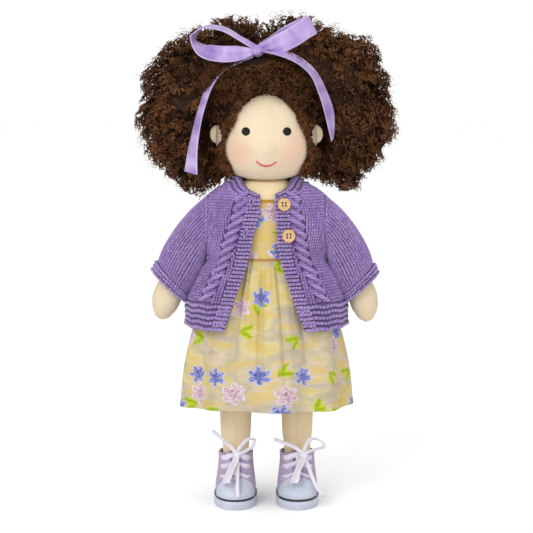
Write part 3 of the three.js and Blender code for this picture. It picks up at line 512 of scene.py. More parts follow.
def ripple(points, size, seed):
    """Smooth unevenness from about -1 to 1, with bumps of about the given size."""
    random = np.random.default_rng(seed)
    ways = unit(random.normal(size=(7, 3))) * 2 * np.pi / (size * random.uniform(1.2, 2.4, (7, 1)))
    return np.sin(np.asarray(points) @ ways.T + random.uniform(0, 6.3, 7)).sum(-1) / 3.2


class Shape:
    """Points and faces gathered for one piece, with cloth coordinates and a tone for the materials."""

    def __init__(self):
        self.points, self.faces, self.uvs, self.tones, self.count = [], [], [], [], 0

    def add(self, points, faces, uv=(0, 0), tone=0.0):
        """Adds points and groups of faces. Cloth coordinates and tones are given for all the points,
        or for one layer of two, or once."""
        points = np.asarray(points, float).reshape(-1, 3)
        uv = np.asarray(uv, float).reshape(-1, 2)
        tone = np.asarray(tone, float).ravel()
        self.faces += [np.asarray(group) + self.count for group in faces]
        self.points.append(points)
        self.uvs.append(np.tile(uv, (len(points) // len(uv), 1)))
        self.tones.append(np.tile(tone, len(points) // len(tone)))
        self.count += len(points)
        return self

    def make(self, name, material, body, replaced=(), slot=None):
        """The piece itself, riding on a body; where body is a bend, the piece is left fixed in the frame."""
        points = np.concatenate(self.points)
        corners = np.concatenate([group.ravel() for group in self.faces])
        sizes = np.concatenate([np.full(len(group), group.shape[1]) for group in self.faces])
        if signed_volume(points, self.faces) < 0:
            corners = np.concatenate([group[:, ::-1].ravel() for group in self.faces])
        mesh = bpy.data.meshes.new(name)
        mesh.vertices.add(len(points))
        mesh.vertices.foreach_set("co", (points * MM + (0, AXIS_Y, 0)).astype(np.float32).ravel())
        mesh.loops.add(len(corners))
        mesh.loops.foreach_set("vertex_index", corners.astype(np.int32))
        mesh.polygons.add(len(sizes))
        mesh.polygons.foreach_set("loop_start", (np.cumsum(sizes) - sizes).astype(np.int32))
        mesh.update(calc_edges=True)
        mesh.validate()
        mesh.shade_smooth()
        cloth = mesh.uv_layers.new(name="cloth")
        cloth.data.foreach_set("uv", (np.concatenate(self.uvs)[corners] * MM).astype(np.float32).ravel())
        tone = mesh.attributes.new("tone", "FLOAT", "POINT")
        tone.data.foreach_set("value", np.concatenate(self.tones).astype(np.float32))
        mesh.materials.append(material)
        made = bpy.data.objects.new(name, mesh)
        bpy.context.scene.collection.objects.link(made)
        if isinstance(body, str):
            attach(made, body)
        else:
            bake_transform(made)
        if replaced:
            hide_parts(*replaced)
        return made


def signed_volume(points, faces):
    """Below 0 where the faces look inwards."""
    middle = points.mean(0)
    total = 0.0
    for group in faces:
        first = points[group[:, 0]] - middle
        for k in range(1, group.shape[1] - 1):
            second, third = points[group[:, k]] - middle, points[group[:, k + 1]] - middle
            total += np.einsum("ij,ij->", first, np.cross(second, third))
    return total


def slab(outer, inner, around=False):
    """Points and faces of a closed sheet between two grids of points of the same shape."""
    rows, columns = outer.shape[:2]
    count = rows * columns
    outside = grid(rows, columns, around)
    faces = [outside, outside[:, ::-1] + count]
    edges = [np.arange(columns), count - columns + np.arange(columns)[::-1]]
    if around:
        edges = [np.append(edge, edge[0]) for edge in edges]
    else:
        edges += [np.arange(rows)[::-1] * columns, np.arange(rows) * columns + columns - 1]
    for edge in edges:
        a, b = edge[:-1], edge[1:]
        faces.append(np.stack([b, a, a + count, b + count], -1))
    return np.concatenate([outer.reshape(-1, 3), inner.reshape(-1, 3)]), faces


def closed(points):
    """Points and faces of a grid that goes round, with its two ends drawn to a point each."""
    rows, columns = points.shape[:2]
    ends = points[[0, -1]].mean(1)
    first = np.arange(columns)
    second = (first + 1) % columns
    count = rows * columns
    last = count - columns
    fan = [
        np.stack([np.full(columns, count), second, first], -1),
        np.stack([np.full(columns, count + 1), last + first, last + second], -1),
    ]
    return np.concatenate([points.reshape(-1, 3), ends]), [grid(rows, columns, True), *fan]


def strands(paths, radii, sides=4):
    """Points and faces of tubes along many lines of the same number of points."""
    paths = np.asarray(paths, float)
    paths = paths[None] if paths.ndim == 2 else paths
    radii = np.broadcast_to(radii, paths.shape[:2])
    along = unit(np.gradient(paths, axis=1))
    start = np.where(np.abs(along[:, 0, 2:]) < 0.8, [[0.0, 0, 1]], [[0, 1.0, 0]])
    across = np.empty_like(paths)
    for n in range(paths.shape[1]):
        start = unit(start - along[:, n] * (start * along[:, n]).sum(-1, keepdims=True))
        across[:, n] = start
    up = np.cross(along, across)
    turn = (np.arange(sides) + 0.5) * 2 * np.pi / sides
    ring = across[:, :, None] * np.cos(turn)[:, None] + up[:, :, None] * np.sin(turn)[:, None]
    points = paths[:, :, None] + ring * radii[:, :, None, None]
    one = grid(paths.shape[1], sides, True)
    size = paths.shape[1] * sides
    faces = (one[None] + (np.arange(len(paths)) * size)[:, None, None]).reshape(-1, 4)
    return points.reshape(-1, 3), [faces]


def tape(centres, ways, width, thickness, cup, columns):
    """A flat ribbon along a line, as a grid outside, a grid inside and its cloth coordinates. The ways
    give where its width runs; a shorter one draws it in. Cup hollows it."""
    along = unit(np.gradient(centres, axis=0))
    size = np.minimum(np.linalg.norm(ways, axis=1, keepdims=True), 1)
    across = unit(ways - along * (ways * along).sum(-1, keepdims=True))
    up = np.cross(along, across)
    u = np.linspace(-1, 1, columns)
    lift = (np.asarray(cup).reshape(-1, 1) * (u**2 - 0.4))[..., None] * up[:, None]
    middle = centres[:, None] + across[:, None] * (u[:, None] * size[:, None] * width / 2) + lift
    length = length_along(centres)
    uv = np.stack(np.broadcast_arrays((u + 1) * width / 2, length[:, None]), -1)
    half = up[:, None] * thickness / 2
    return middle + half, middle - half, uv


def lathe(profile, sides, place, out):
    """A ring or knob turned about a line at a place; the profile is [radius, height] along the line."""
    out = unit(np.array(out, float))
    across = unit(np.cross([0.1, 0.2, 1.0], out))
    up = np.cross(out, across)
    turn = angles(sides)
    round_it = across * np.cos(turn)[:, None] + up * np.sin(turn)[:, None]
    points = np.array([np.array(place) + round_it * r + out * h for r, h in profile])
    return points, [grid(len(profile), sides, True)]


def oval(half, grow, turn, power):
    """x and y on a rounded ring with the given half width and half depth."""
    x = (half[..., 0] + grow) * squared(np.cos(turn), power)
    y = (half[..., 1] + grow) * squared(np.sin(turn), power)
    return x, y


# Head. Rows are [height above the chin crease, half width, half depth].
HEAD_POWER = 2.15
HEAD_TOP = 86
HEAD_ROWS = [
    [0, 15.2, 15.2], [2, 21.6, 21], [6, 28, 27.4], [12, 33.2, 32.8], [19, 36.8, 36.2], [25, 38.4, 37.6],
    [31, 38.9, 37.9], [38, 38.5, 37.4], [48, 38.2, 38], [60, 36, 38], [70, 31.5, 34], [78, 24.5, 27],
    [84, 15, 17], [HEAD_TOP, 8, 9],
]
NOSE_HEIGHT = 25
NOSE_REACH = 3.4
NOSE_RADIUS = 6.5
EYE_X = 15.5
EYE_HEIGHT = 38
EYE_RADIUS = 3.15
MOUTH_WIDTH = 15.5
MOUTH_HEIGHT = 15.4
MOUTH_DROP = 3.6
MOUTH_THICKNESS = 1.7
EAR_HALF = (5.6, 4, 7.2)
EAR_PLACE = (37.8, 1, 34)
EAR_HOLLOW = 2.6
NECK_RADIUS = 16.4
NECK_HEIGHT = 250.45
NECK_TWISTS = 34
NECK_PLY = 0.22


def nose(x, height):
    return NOSE_REACH * bell(np.hypot(x, height - NOSE_HEIGHT), NOSE_RADIUS)


def head_at(height, angle, grow=0.0):
    x, y = oval(row_at(HEAD_ROWS, height), grow, angle, HEAD_POWER)
    return xyz(x, y - np.where(np.sin(angle) < 0, nose(x, height), 0), CHIN + height)


def face_at(x, height, lift=0.0):
    """A place on the front of the head."""
    x, height = np.broadcast_arrays(np.asarray(x, float), np.asarray(height, float))
    half = row_at(HEAD_ROWS, height) + np.asarray(lift, float)[..., None]
    share = np.minimum(np.abs(x) / half[..., 0], 0.999) ** HEAD_POWER
    return xyz(x, -half[..., 1] * (1 - share) ** (1 / HEAD_POWER) - nose(x, height), CHIN + height)


def make_head():
    rows, columns = 72, 96
    heights = HEAD_TOP / 2 - HEAD_TOP / 2 * np.cos(np.linspace(0, np.pi, rows))
    turn = angles(columns)
    turn = turn - 0.35 * np.cos(turn)
    head = Shape().add(*closed(head_at(heights[:, None], turn[None, :])))
    head.make("head_skin", SKIN, "torso", ["head"], "skin")
    for side, s in SIDES.items():
        make_eye(side, s)
        make_ear(side, s)

    # The mouth is one row of stem stitch: short threads that lap each other along a curve
    count, steps = 9, 6
    t = np.linspace(-1, 0.72, count)[:, None] + np.linspace(0, 0.3, steps)
    radius = MOUTH_THICKNESS / 2 * (1 - 0.35 * np.abs(t)) * np.sin(np.linspace(0.35, 2.8, steps)) ** 0.5
    slant = np.linspace(0.35, -0.35, steps)
    height = MOUTH_HEIGHT - MOUTH_DROP * (1 - np.minimum(t * t, 1.2)) + slant
    mouth = Shape().add(*strands(face_at(t * MOUTH_WIDTH / 2, height, 0.45), radius, 6))
    mouth.make("mouth_stitches", MOUTH_THREAD, "torso", ["mouth"], "mouth_thread")


def make_eye(side, s):
    """Satin stitch laid outwards all round over a small dome."""
    threads, steps = 40, 7
    ways = angles(threads)[:, None]
    reach = np.linspace(0.12, 1, steps)
    across = s * EYE_X + EYE_RADIUS * reach * np.cos(ways)
    up = EYE_HEIGHT + EYE_RADIUS * reach * np.sin(ways)
    lift = 0.75 * (1 - reach**2.5) + 0.15
    thick = 0.3 * np.sin(np.linspace(0.5, 2.7, steps))
    eye = Shape().add(*strands(face_at(across, up, lift), thick, 5))
    eye.add(*closed(face_at(across, up, lift - 0.1).transpose(1, 0, 2)))
    eye.make(f"{side}_eye_stitches", EYE_THREAD, "torso", [f"{side}_eye"], "eye_thread")


def make_ear(side, s):
    """A small stuffed ear, pinched hollow at its front."""
    up, turn = globe(22, 28, 0.02)
    x = EAR_HALF[0] * np.sin(up) * np.cos(turn) * s
    y = EAR_HALF[1] * np.sin(up) * np.sin(turn)
    z = EAR_HALF[2] * np.cos(up)
    away = ((x * s - 1.8) / 2.6) ** 2 + (z / 4.2) ** 2
    y = y + np.where(y < 0, EAR_HOLLOW * np.exp(-away), 0)
    ear = Shape().add(*closed(xyz(EAR_PLACE[0] * s + x, EAR_PLACE[1] + y, CHIN + EAR_PLACE[2] + z)))
    ear.make(f"{side}_ear_skin", GLOWING_EAR_SKIN, "torso", [f"{side}_ear"], "skin")


def make_neck():
    """Thread of two plies, wound round the neck."""
    turn = np.linspace(0, 2 * np.pi, 241)
    twist = turn * NECK_TWISTS + np.array([0, np.pi])[:, None]
    ring = NECK_RADIUS + NECK_PLY * np.cos(twist)
    paths = xyz(ring * np.cos(turn), ring * np.sin(turn), NECK_HEIGHT + NECK_PLY * np.sin(twist))
    winding = Shape().add(*strands(paths, 0.3, 5))
    winding.make("neck_winding", NECK_THREAD, "torso", ["neck_thread"], "neck_thread")


# Torso. Rows are [height above the hip joints, half width, half depth].
TORSO_POWER = 2.2
TORSO_ROWS = [
    [5, 24, 15], [8, 32, 21], [15, 36, 24], [28, 35, 25], [48, 31.5, 24.5], [65, 33, 24], [80, 34.6, 22.6],
    [92, 33.4, 20.2], [99, 30, 18.6], [104, 22.5, 17], [108, 16, 15.6],
]
ARM_SEAT = 34
HIP_SEAT = 14.2


def torso_at(rise, turn, grow=0.0):
    return xyz(*oval(row_at(TORSO_ROWS, rise), grow, turn, TORSO_POWER), HIP + rise)


def make_torso():
    """The stuffed body, lifted over the legs' hip ends."""
    rise = np.linspace(TORSO_ROWS[0][0], TORSO_ROWS[-1][0], 44)
    points = torso_at(rise[:, None], angles(72)[None, :])
    points[..., 0] = np.clip(points[..., 0], -ARM_SEAT, ARM_SEAT)
    over_hips = HIP + np.sqrt(np.maximum(HIP_SEAT**2 - (np.abs(points[..., 0]) - LEG_X) ** 2, 0))
    low = (points[..., 2] < over_hips) & (points[..., 1] < HIP_SEAT)
    points[..., 2] = np.where(low, over_hips, points[..., 2])
    torso = Shape().add(*closed(points)).make("torso_skin", LIMB, "torso", ["torso"], "skin")


# Arms. Rows are [place along the arm, outwards from the shoulder, down, radius].
SHOULDER_REACH = 42
ARM_ROWS = [
    [0, 0, 0, 10.6], [1, 7.8, 12, 9.5], [2, 15.8, 28, 9.5], [3, 24, 43, 10], [4, 30, 53, 10.4],
    [5, 34, 62, 11.2], [6, 36.2, 70, 10.2], [7, 37.4, 76, 7.4], [8, 38, 80.4, 3.4], [8.3, 38.1, 81.6, 0.4],
]
ARM_TURN = {"left": -1.8, "right": 1}


def arm_place(side, out, up, share):
    """A point of an arm or sleeve, swung outwards more towards the hand."""
    turn = math.radians(ARM_TURN[side]) * np.asarray(share)
    arm = out - SHOULDER_REACH
    x = SHOULDER_REACH + arm * np.cos(turn) - up * np.sin(turn)
    return xyz(SIDES[side] * x, 0.0, SHOULDER + (up * np.cos(turn) + arm * np.sin(turn)))


def make_arm(side):
    """An arm with its mitten hand, closer rings at the hand, flat where it meets the torso."""
    key = np.concatenate([np.linspace(0, 6, 34), np.linspace(6.1, 8.3, 18)])
    out, down, radius = columns_at(ARM_ROWS, key)
    points = arm_place(side, SHOULDER_REACH + out, -down, key / 8)
    along = unit(np.gradient(points, axis=0))
    across = xyz(along[:, 2], 0, -along[:, 0])
    turn = angles(40)[:, None]
    ring = across[:, None] * np.cos(turn) + np.array([0, 0.94, 0]) * np.sin(turn)
    surface = points[:, None] + ring * radius[:, None, None]
    surface[..., 0] = SIDES[side] * np.maximum(np.abs(surface[..., 0]), ARM_SEAT + 0.3)
    arm = Shape().add(*closed(surface))
    arm.make(f"{side}_arm_skin", ARM, f"{side}_arm", [f"{side}_arm"], "skin")


# Shoes and legs. Shoe rows are [height, toe end, heel end, half width] outside the canvas, leg rows
# [share of the way from the ankle to the hip joint, front, back, half width].
SHOE_POWER = 2.3
SHOE_ROWS = [
    [8, -43, 19, 15.7], [12.5, -42.2, 19, 15.7], [16, -39, 18.4, 15.4], [20, -32.6, 17.5, 14.8],
    [26, -23.8, 16.4, 14], [33, -17.6, 15.4, 13.4], [44, -14.4, 14.4, 13],
]
CANVAS_DEPTH = 1.4
FOOT_INSET = 3.1
COLLAR = 36.5
ANKLE = 45
LEG_POWER = 2.1
LEG_ROWS = [
    [0, -10.6, 10.8, 10.6], [0.06, -11.4, 11.4, 11.5], [0.18, -12, 12, 12.1], [0.42, -12.8, 12.8, 12.5],
    [0.68, -13.2, 13.2, 13], [0.88, -13.3, 13.3, 13.3], [0.94, -13.4, 13.4, 13.4],
]
HIP_BALL = 13.45


def ring_at(front, back, half, turn, power, middle_x, z):
    x = middle_x + half * squared(np.cos(turn), power)
    y = (front + back) / 2 + (back - front) / 2 * squared(np.sin(turn), power)
    return xyz(x, y, z)


def shoe_ring(side, height, turn, grow, z):
    """The shoe's outline at a height, grown outwards and laid at z."""
    toe, heel, half = columns_at(SHOE_ROWS, height)
    return ring_at(toe - grow, heel + grow, half + grow, turn, SHOE_POWER, SIDES[side] * LEG_X, z)


def make_leg(side):
    """Leg and foot in one skin, with a seam down the front, and a round hip end."""
    turn = angles(40)[None, :]
    middle = SIDES[side] * LEG_X

    def shank_at(share, turn, sunk):
        front, back, half = columns_at(LEG_ROWS, share)
        height = ANKLE + (HIP - ANKLE) * share
        return ring_at(front + sunk, back, half, turn, LEG_POWER, middle, height)

    height = np.linspace(9, 38, 16)[:, None]
    foot = shoe_ring(side, height, turn, -FOOT_INSET, height)
    shank = shank_at(np.linspace(0, 0.94, 44)[:, None], turn, 0.5 * bell(turn - FRONT, 0.1))
    up = np.linspace(0.05, np.pi / 2 - 0.02, 12)[:, None]
    flat = HIP_BALL * np.cos(up)
    hip = ring_at(-flat, flat, flat, turn, 2.0, middle, HIP + HIP_BALL * np.sin(up))
    leg = Shape().add(*closed(np.concatenate([foot, shank, hip])))
    count = 60
    sewn = shank_at(np.linspace(0, 0.9, count), np.full(count, FRONT), 0.28)
    leg.add(*strands(sewn, 0.2 + 0.1 * (np.arange(count) % 2), 5))
    leg.make(f"{side}_leg_skin", LIMB, f"{side}_leg", [f"{side}_leg"], "skin")


# Dress. Skirt rows are [share of the way down, half width, half depth]; the folds at the front are
# [way round, width, depth].
DRESS_CLOTH = 1.0
DRESS_GAP = 1.35
BODICE_FOOT = 48.6
BODICE_TOP = 102.5
NECKLINE = 93.5
NECKLINE_HALF = 16.5
ARMHOLE = 13.4
SKIRT_LENGTH = 114
SKIRT_ROWS = [
    [0, 33.6, 26.6], [0.07, 37.8, 29.4], [0.16, 43, 33], [0.3, 49.6, 37.2], [0.46, 55.6, 40.8],
    [0.63, 60, 43.4], [0.81, 63.2, 45], [1, 65, 46],
]
SKIRT_BEND = ("torso", "left_leg", metres(0, 0, 178), metres(0, 0, 60))
HEM_UP = 5.5
FRONT_FOLDS = [
    [FRONT - 0.07, 0.035, 4.4], [FRONT + 0.2, 0.04, 3.6], [FRONT - 0.42, 0.06, 3.4],
    [FRONT + 0.55, 0.07, 3.4],
]
PIPING_LENGTH = 200


def cloth_uv(points, around):
    """Cloth coordinates of a hanging sheet: the way round at its own width, and the height."""
    return np.stack(np.broadcast_arrays(around, points[..., 2]), -1)


def piping(line, radius, length=PIPING_LENGTH):
    """Points, faces and cloth coordinates of a round edging along a line."""
    uv = np.column_stack([np.linspace(0, length, len(line)), np.zeros(len(line))])
    return *strands(line, radius, 8), np.repeat(uv, 8, 0)


def make_bodice():
    """The bodice, eased onto the waist with small gathers, and its faced neckline."""
    turn = angles(200)
    x = np.abs(torso_at(np.array(85.0), turn)[:, 0])
    top = NECKLINE + (BODICE_TOP - NECKLINE) * smooth(NECKLINE_HALF, NECKLINE_HALF + 4, x)
    share = np.linspace(0, 1, 34)[:, None]
    rise = BODICE_FOOT + (top - BODICE_FOOT) * share
    ease = 0.28 * np.sin(34 * turn) * (1 - smooth(0, 0.3, share))
    outer = torso_at(rise, turn[None, :], DRESS_GAP + ease)
    inner = torso_at(rise, turn[None, :], DRESS_GAP - DRESS_CLOTH + ease)
    points, faces = slab(outer, inner, True)
    faces = np.concatenate(faces)
    middle = points[faces].mean(1)
    in_armhole = (np.hypot(middle[:, 1], middle[:, 2] - SHOULDER) < ARMHOLE) & (np.abs(middle[:, 0]) > 22)
    neck_facing = smooth(0.95, 0.975, share) * (x < NECKLINE_HALF + 3) * 0.9
    waist_seam = (share < 0.03) * 0.8
    bodice = Shape().add(points, [faces[~in_armhole]], cloth_uv(outer, turn * 34), neck_facing + waist_seam)
    edge = torso_at(rise[-1], turn, DRESS_GAP - 0.3)
    bodice.add(*piping(np.concatenate([edge, edge[:1]]), 0.8), tone=1.0)
    made = bodice.make("bodice_cloth", PRINT, "torso", ["dress_bodice"], "dress_print")


def skirt_at(share, turn, inset=0.0):
    """The gathered skirt, which falls into folds."""
    loose = smooth(0.05, 0.8, share)
    wave = np.cos(9 * turn + 0.7) + 0.4 * np.cos(5 * turn + 2)
    gathers = np.sin(41 * turn + 1.3 * np.sin(3 * turn)) + 0.6 * np.sin(67 * turn + 2 * np.cos(2 * turn))
    drawn = 0.55 * (1 - smooth(0.08, 0.5, share)) * (0.35 + 0.65 * smooth(0, 0.05, share))
    grow = 2.6 * loose * wave + drawn * gathers - inset
    fade = smooth(0.0, 0.12, share) * (1 - smooth(0.55, 1.0, share))
    for middle, width, depth in FRONT_FOLDS:
        grow = grow - depth * fade * bell(turn - middle, width)
    z = WAIST - SKIRT_LENGTH * share + 0.7 * smooth(0.6, 1, share) * np.sin(3 * turn + 1)
    return xyz(*oval(row_at(SKIRT_ROWS, share), grow, turn, TORSO_POWER), z)


def make_skirt():
    """The skirt, with a stitched hem and the piping of the waist seam."""
    share = np.concatenate([np.linspace(0, 0.94, 60), np.linspace(0.945, 1, 10)])[:, None]
    turn = angles(360)[None, :]
    height = SKIRT_LENGTH * (1 - share)
    stitched = bell(height - HEM_UP, 0.45)
    hem = -0.25 * smooth(HEM_UP + 0.2, HEM_UP - 0.6, height) + 0.3 * stitched
    outer = skirt_at(share, turn, hem)
    points, faces = slab(outer, skirt_at(share, turn, hem + DRESS_CLOTH), True)
    dashes = (np.sin(turn * 150) > -0.2) * stitched
    skirt = Shape().add(points, faces, cloth_uv(outer, turn * 54), 0.35 * dashes)
    ring = skirt_at(np.array(0.0), np.linspace(0, 2 * np.pi, 241), 0.2)
    skirt.add(*piping(ring, 0.75), tone=0.85)
    made = skirt.make("skirt_cloth", PRINT, SKIRT_BEND, ["dress_skirt"], "dress_print")


# Knitting. A place function turns columns, rows and a lift in millimetres into points. A V stitch has
# two legs and a purl an arched loop, given by their points across, down, in lift, thickness and tone;
# the tone is painted shading, darker at the ends that sink into the cloth and lighter on the raised middle.
STITCH_TALL = 2.15
LEG_OUT = np.array([0.02, 0.12, 0.23, 0.3])
LEG_DOWN = np.array([0.74, 0.28, -0.2, -0.64])
LEG_LIFT = np.array([-0.5, 0.25, 0.35, -0.15])
LEG_ROUND = np.array([0.6, 1, 1, 0.75])
# Painted shading along each leg: dark at the sunk ends, light on the raised middle.
LEG_PAINTED_SHADING = np.array([-0.42, 0.05, 0.2, -0.1])
PURL_OUT = np.array([-0.47, -0.3, 0.0, 0.3, 0.47])
PURL_DOWN = np.array([0.24, 0.0, -0.16, 0.0, 0.24])
PURL_LIFT = np.array([-1.6, -0.1, 0.8, -0.1, -1.6])
PURL_ROUND = np.array([0.6, 1, 1.15, 1, 0.6])
# Painted shading along each purl loop: dark at its sunk ends, light on its crest.
PURL_PAINTED_SHADING = np.array([-0.42, -0.04, 0.18, -0.04, -0.42])


def stitches(shape, place, columns, rows, radius=0.47, seed=1, tone=0.66):
    """V stitches whose middles are at the given columns and rows."""
    columns, rows = np.asarray(columns, float).ravel(), np.asarray(rows, float).ravel()
    count, sides = len(rows), 4
    random = np.random.default_rng(seed)
    across = np.array([-1, 1])[None, :, None] * LEG_OUT
    down = rows[:, None, None] + LEG_DOWN + random.normal(0, 0.04, (count, 1, 1))
    out = columns[:, None, None] + across + random.normal(0, 0.03, (count, 1, 1))
    paths = place(out, down + 0 * across, LEG_LIFT + 0 * out).reshape(-1, 4, 3)
    size = radius * np.repeat(random.uniform(0.9, 1.1, count), 2)[:, None] * LEG_ROUND
    tones = tone + np.repeat(random.normal(0, 0.06, count), 2 * 4 * sides)
    tones = tones + np.tile(np.repeat(LEG_PAINTED_SHADING, sides), 2 * count)
    shape.add(*strands(paths, size, sides), tone=tones)


def purls(shape, place, columns, rows, radius, seed, tone=0.66):
    """A garter ridge at each row: loops that arch up, with loops that hang down between them."""
    columns, rows = pairs(columns, rows)
    count, sides = len(rows), 5
    random = np.random.default_rng(seed)
    # The loops that hang down sit deeper and get a darker tone, a painted shade.
    for turned, shift, sunk, sunk_painted_shade in ((1, 0.0, 0.0, 0.0), (-1, 0.5, 1.1, 0.26)):
        down = rows[:, None] + turned * (PURL_DOWN + 0.1) + random.normal(0, 0.03, (count, 1))
        out = columns[:, None] + shift + PURL_OUT + random.normal(0, 0.03, (count, 1))
        paths = place(out, down, PURL_LIFT - sunk + 0 * out)
        size = radius * random.uniform(0.9, 1.1, (count, 1)) * PURL_ROUND
        tones = tone - sunk_painted_shade + np.repeat(random.normal(0, 0.06, count), 5 * sides)
        tones = tones + np.tile(np.repeat(PURL_PAINTED_SHADING, sides), count)
        shape.add(*strands(paths, size, sides), tone=tones)


def ridge(shape, path, radius, beads, tone):
    """A cord of yarn that bulges into a bead at each stitch, darker between the beads as a painted shade."""
    swell = np.abs(np.sin(np.linspace(0, np.pi * beads, len(path)))) ** 0.7
    tones = np.repeat(tone - 0.3 + 0.3 * swell, 6)
    shape.add(*strands(path, radius * (0.72 + 0.36 * swell), 6), tone=tones)


def painted_shade_tones(points):
    """Painted shade: dark on a sheet's outside, where it shows between the stitches; lighter on its inside.
    """
    return np.repeat([0.34, 0.55], len(points) // 2)


# Cardigan. Rows are [height above the hip joints, half width, half depth]. The front edges are
# [height above the hip joints, x]. Stitches are counted in columns round the body and rows down it.
KNIT_POWER = 2.35
KNIT_DEPTH = 1.35
KNIT_BACK = -2.25
KNIT_LOW = -4
KNIT_ROWS = [
    [KNIT_LOW, 62.6, 47], [14, 59, 43.8], [33, 50.2, 38.4], [49, 45, 33.2], [60, 50, 31.2], [74, 53, 29.6],
    [88, 50.6, 27], [97, 44.6, 24], [102, 37.6, 22.4], [107, 29, 20.6], [112, 24.2, 20.6],
]
MODEL_HALF = np.array([52, 33])
ARMHOLE_X = 45
UNDERARM = 49.7
SIDE_BULGE = 4.2
ROUND = 126
HEM_RIDGES = 5
RIDGE_STEP = 4.1
HEM_HEIGHT = 20.5
HEM_LOOPS = 112
COLLAR_LOOPS = 66
COLLAR_STEP = 2.6
NECK_BACK = 111.2
NECK_FRONT = 96.6
STITCHES_TOP = 104
BAND_WIDTH = 10
BAND_STEP = 2.85
BAND_TOP = 96.5
CABLE_WIDTH = 11.6
CABLE_STEP = 1.9
CABLE_PERIOD = 14
CABLE_SWING = 3.1
FRONT_EDGES = {
    "right": [[108, 4.4], [86, 6.5], [66, 11], [39, 18], [22, 24.3], [-6, 35]],
    "left": [[108, 6], [80, 8.2], [55, 10.2], [31, 17.2], [16, 22.5], [-6, 31.4]],
}
SLIT_AWAY = 5.2
SLIT_RISE = 2.4
BODY_BEND = ("torso", "left_leg", metres(0, -40.5, 175.4), metres(0, -74.4, 118.8))
BUTTONS = {"button_upper": [13.2, 90.5], "button_lower": [16.6, 67.5]}

even_turn = np.linspace(0, 2 * np.pi, 4001)
ring_share = length_along(np.stack(oval(MODEL_HALF, 0, even_turn, KNIT_POWER), -1))
ring_share = ring_share / ring_share[-1]


def body_at(share, rise, lift=0.0):
    """A place on the cardigan's body: the share of the way round from the doll's left side by its back,
    the height above the hip joints, and the lift off the cloth."""
    turn = np.interp(share, ring_share, even_turn)
    x, y = oval(row_at(KNIT_ROWS, rise), np.asarray(lift, float), turn, KNIT_POWER)
    limit = np.where(np.asarray(rise, float) > UNDERARM, ARMHOLE_X, 99)
    x = np.clip(x, -limit, limit)
    under_arm = SIDE_BULGE * smooth(0, 22, rise) * smooth(50, 38, rise) * np.cos(turn) ** 4
    return xyz(x + np.sign(x) * under_arm, y, HIP + np.asarray(rise, float))


def plain_at(u, v, lift):
    """A place on the body's plain knitting, from its column and its row."""
    return body_at(u / ROUND, -v * STITCH_TALL, lift - 0.35)


def ring_round(rise):
    """About how far it is round the body at a height."""
    half = row_at(KNIT_ROWS, rise)
    return 3.5 * (half[..., 0] + half[..., 1]) - 0.28 * np.sqrt(half[..., 0] * half[..., 1])


def always(share):
    """An end of a knitted part that keeps to one share of the way round."""
    return lambda rise: share + 0 * np.asarray(rise, float)


def edge_share(side, rise):
    """Where a front edge is on the way round."""
    x = row_at(FRONT_EDGES[side], rise)[..., 0]
    half = row_at(KNIT_ROWS, rise)[..., 0]
    quarter = np.arcsin(np.minimum((x / half), 1) ** (KNIT_POWER / 2))
    return np.interp(FRONT + SIDES[side] * quarter, even_turn, ring_share)


def front_at(side, away, rise, lift=0.0):
    """A place on a front, away millimetres from its edge towards the side."""
    share = edge_share(side, rise) + SIDES[side] * away / ring_round(rise)
    return body_at(share, rise, lift)


def knit_front(x, rise, lift=0.0):
    """How far forward the cardigan lies at a place seen from the front."""
    half = row_at(KNIT_ROWS, np.asarray(rise, float)) + lift
    return -half[..., 1] * (1 - (x / half[..., 0]) ** KNIT_POWER) ** (1 / KNIT_POWER)


def seen_yoke(points):
    """Leaves out what the sleeves cover."""
    return ~((np.abs(points[..., 0]) > ARMHOLE_X - 0.5) & (points[..., 2] > HIP + UNDERARM))


def neck_rise(share):
    """The neck edge's height: lower at the front."""
    turn = np.interp(share, ring_share, even_turn)
    front = np.minimum(NECK_BACK, NECK_FRONT + 16.6 * np.abs(np.cos(turn)))
    return np.where(np.sin(turn) < 0, front, NECK_BACK)


def knit_panel(low_share, high_share, rows, columns):
    """A closed cloth over a part of the way round, given at each height by its two ends."""
    u = np.linspace(0, 1, columns)[None, :]
    v = np.linspace(0, 1, rows)[:, None]
    share = 0.5 * (low_share(KNIT_LOW) + high_share(KNIT_LOW)) + 0 * u * v
    for _ in range(3):
        rise = KNIT_LOW + (neck_rise(share) - KNIT_LOW) * v
        share = low_share(rise) + (high_share(rise) - low_share(rise)) * u
    points, faces = slab(body_at(share, rise, -KNIT_DEPTH), body_at(share, rise, KNIT_BACK))
    return Shape().add(points, faces, tone=painted_shade_tones(points))


def hem_and_neck(shape, low_share, high_share, seed):
    """Garter ridges along the hem, and a garter collar."""
    def loops(rise, per_round):
        low, high = float(low_share(np.array(rise))), float(high_share(np.array(rise)))
        return low, high, int(abs(high - low) * per_round)

    count = loops(6.0, HEM_LOOPS)[2]

    def hem_at(u, v, lift):
        rise = KNIT_LOW + 1.4 - v * RIDGE_STEP
        ends = low_share(rise), high_share(rise)
        share = ends[0] + (ends[1] - ends[0]) * np.clip(u / count, 0, 1)
        return body_at(share, rise + 0.4 * np.sin(share * 2 * np.pi * 21), 1.25 * lift - 0.1)

    purls(shape, hem_at, np.arange(count) + 0.25, -np.arange(HEM_RIDGES), 1.05, seed)
    low, high, around = loops(104.0, COLLAR_LOOPS)
    around = max(3, around)

    def collar_at(u, v, lift):
        share = low + (high - low) * np.clip(u / around, 0, 1)
        return body_at(share, neck_rise(share) - 0.9 - COLLAR_STEP * v, lift - 0.3)

    purls(shape, collar_at, np.arange(around) + 0.25, np.arange(3), 0.9, seed + 1)


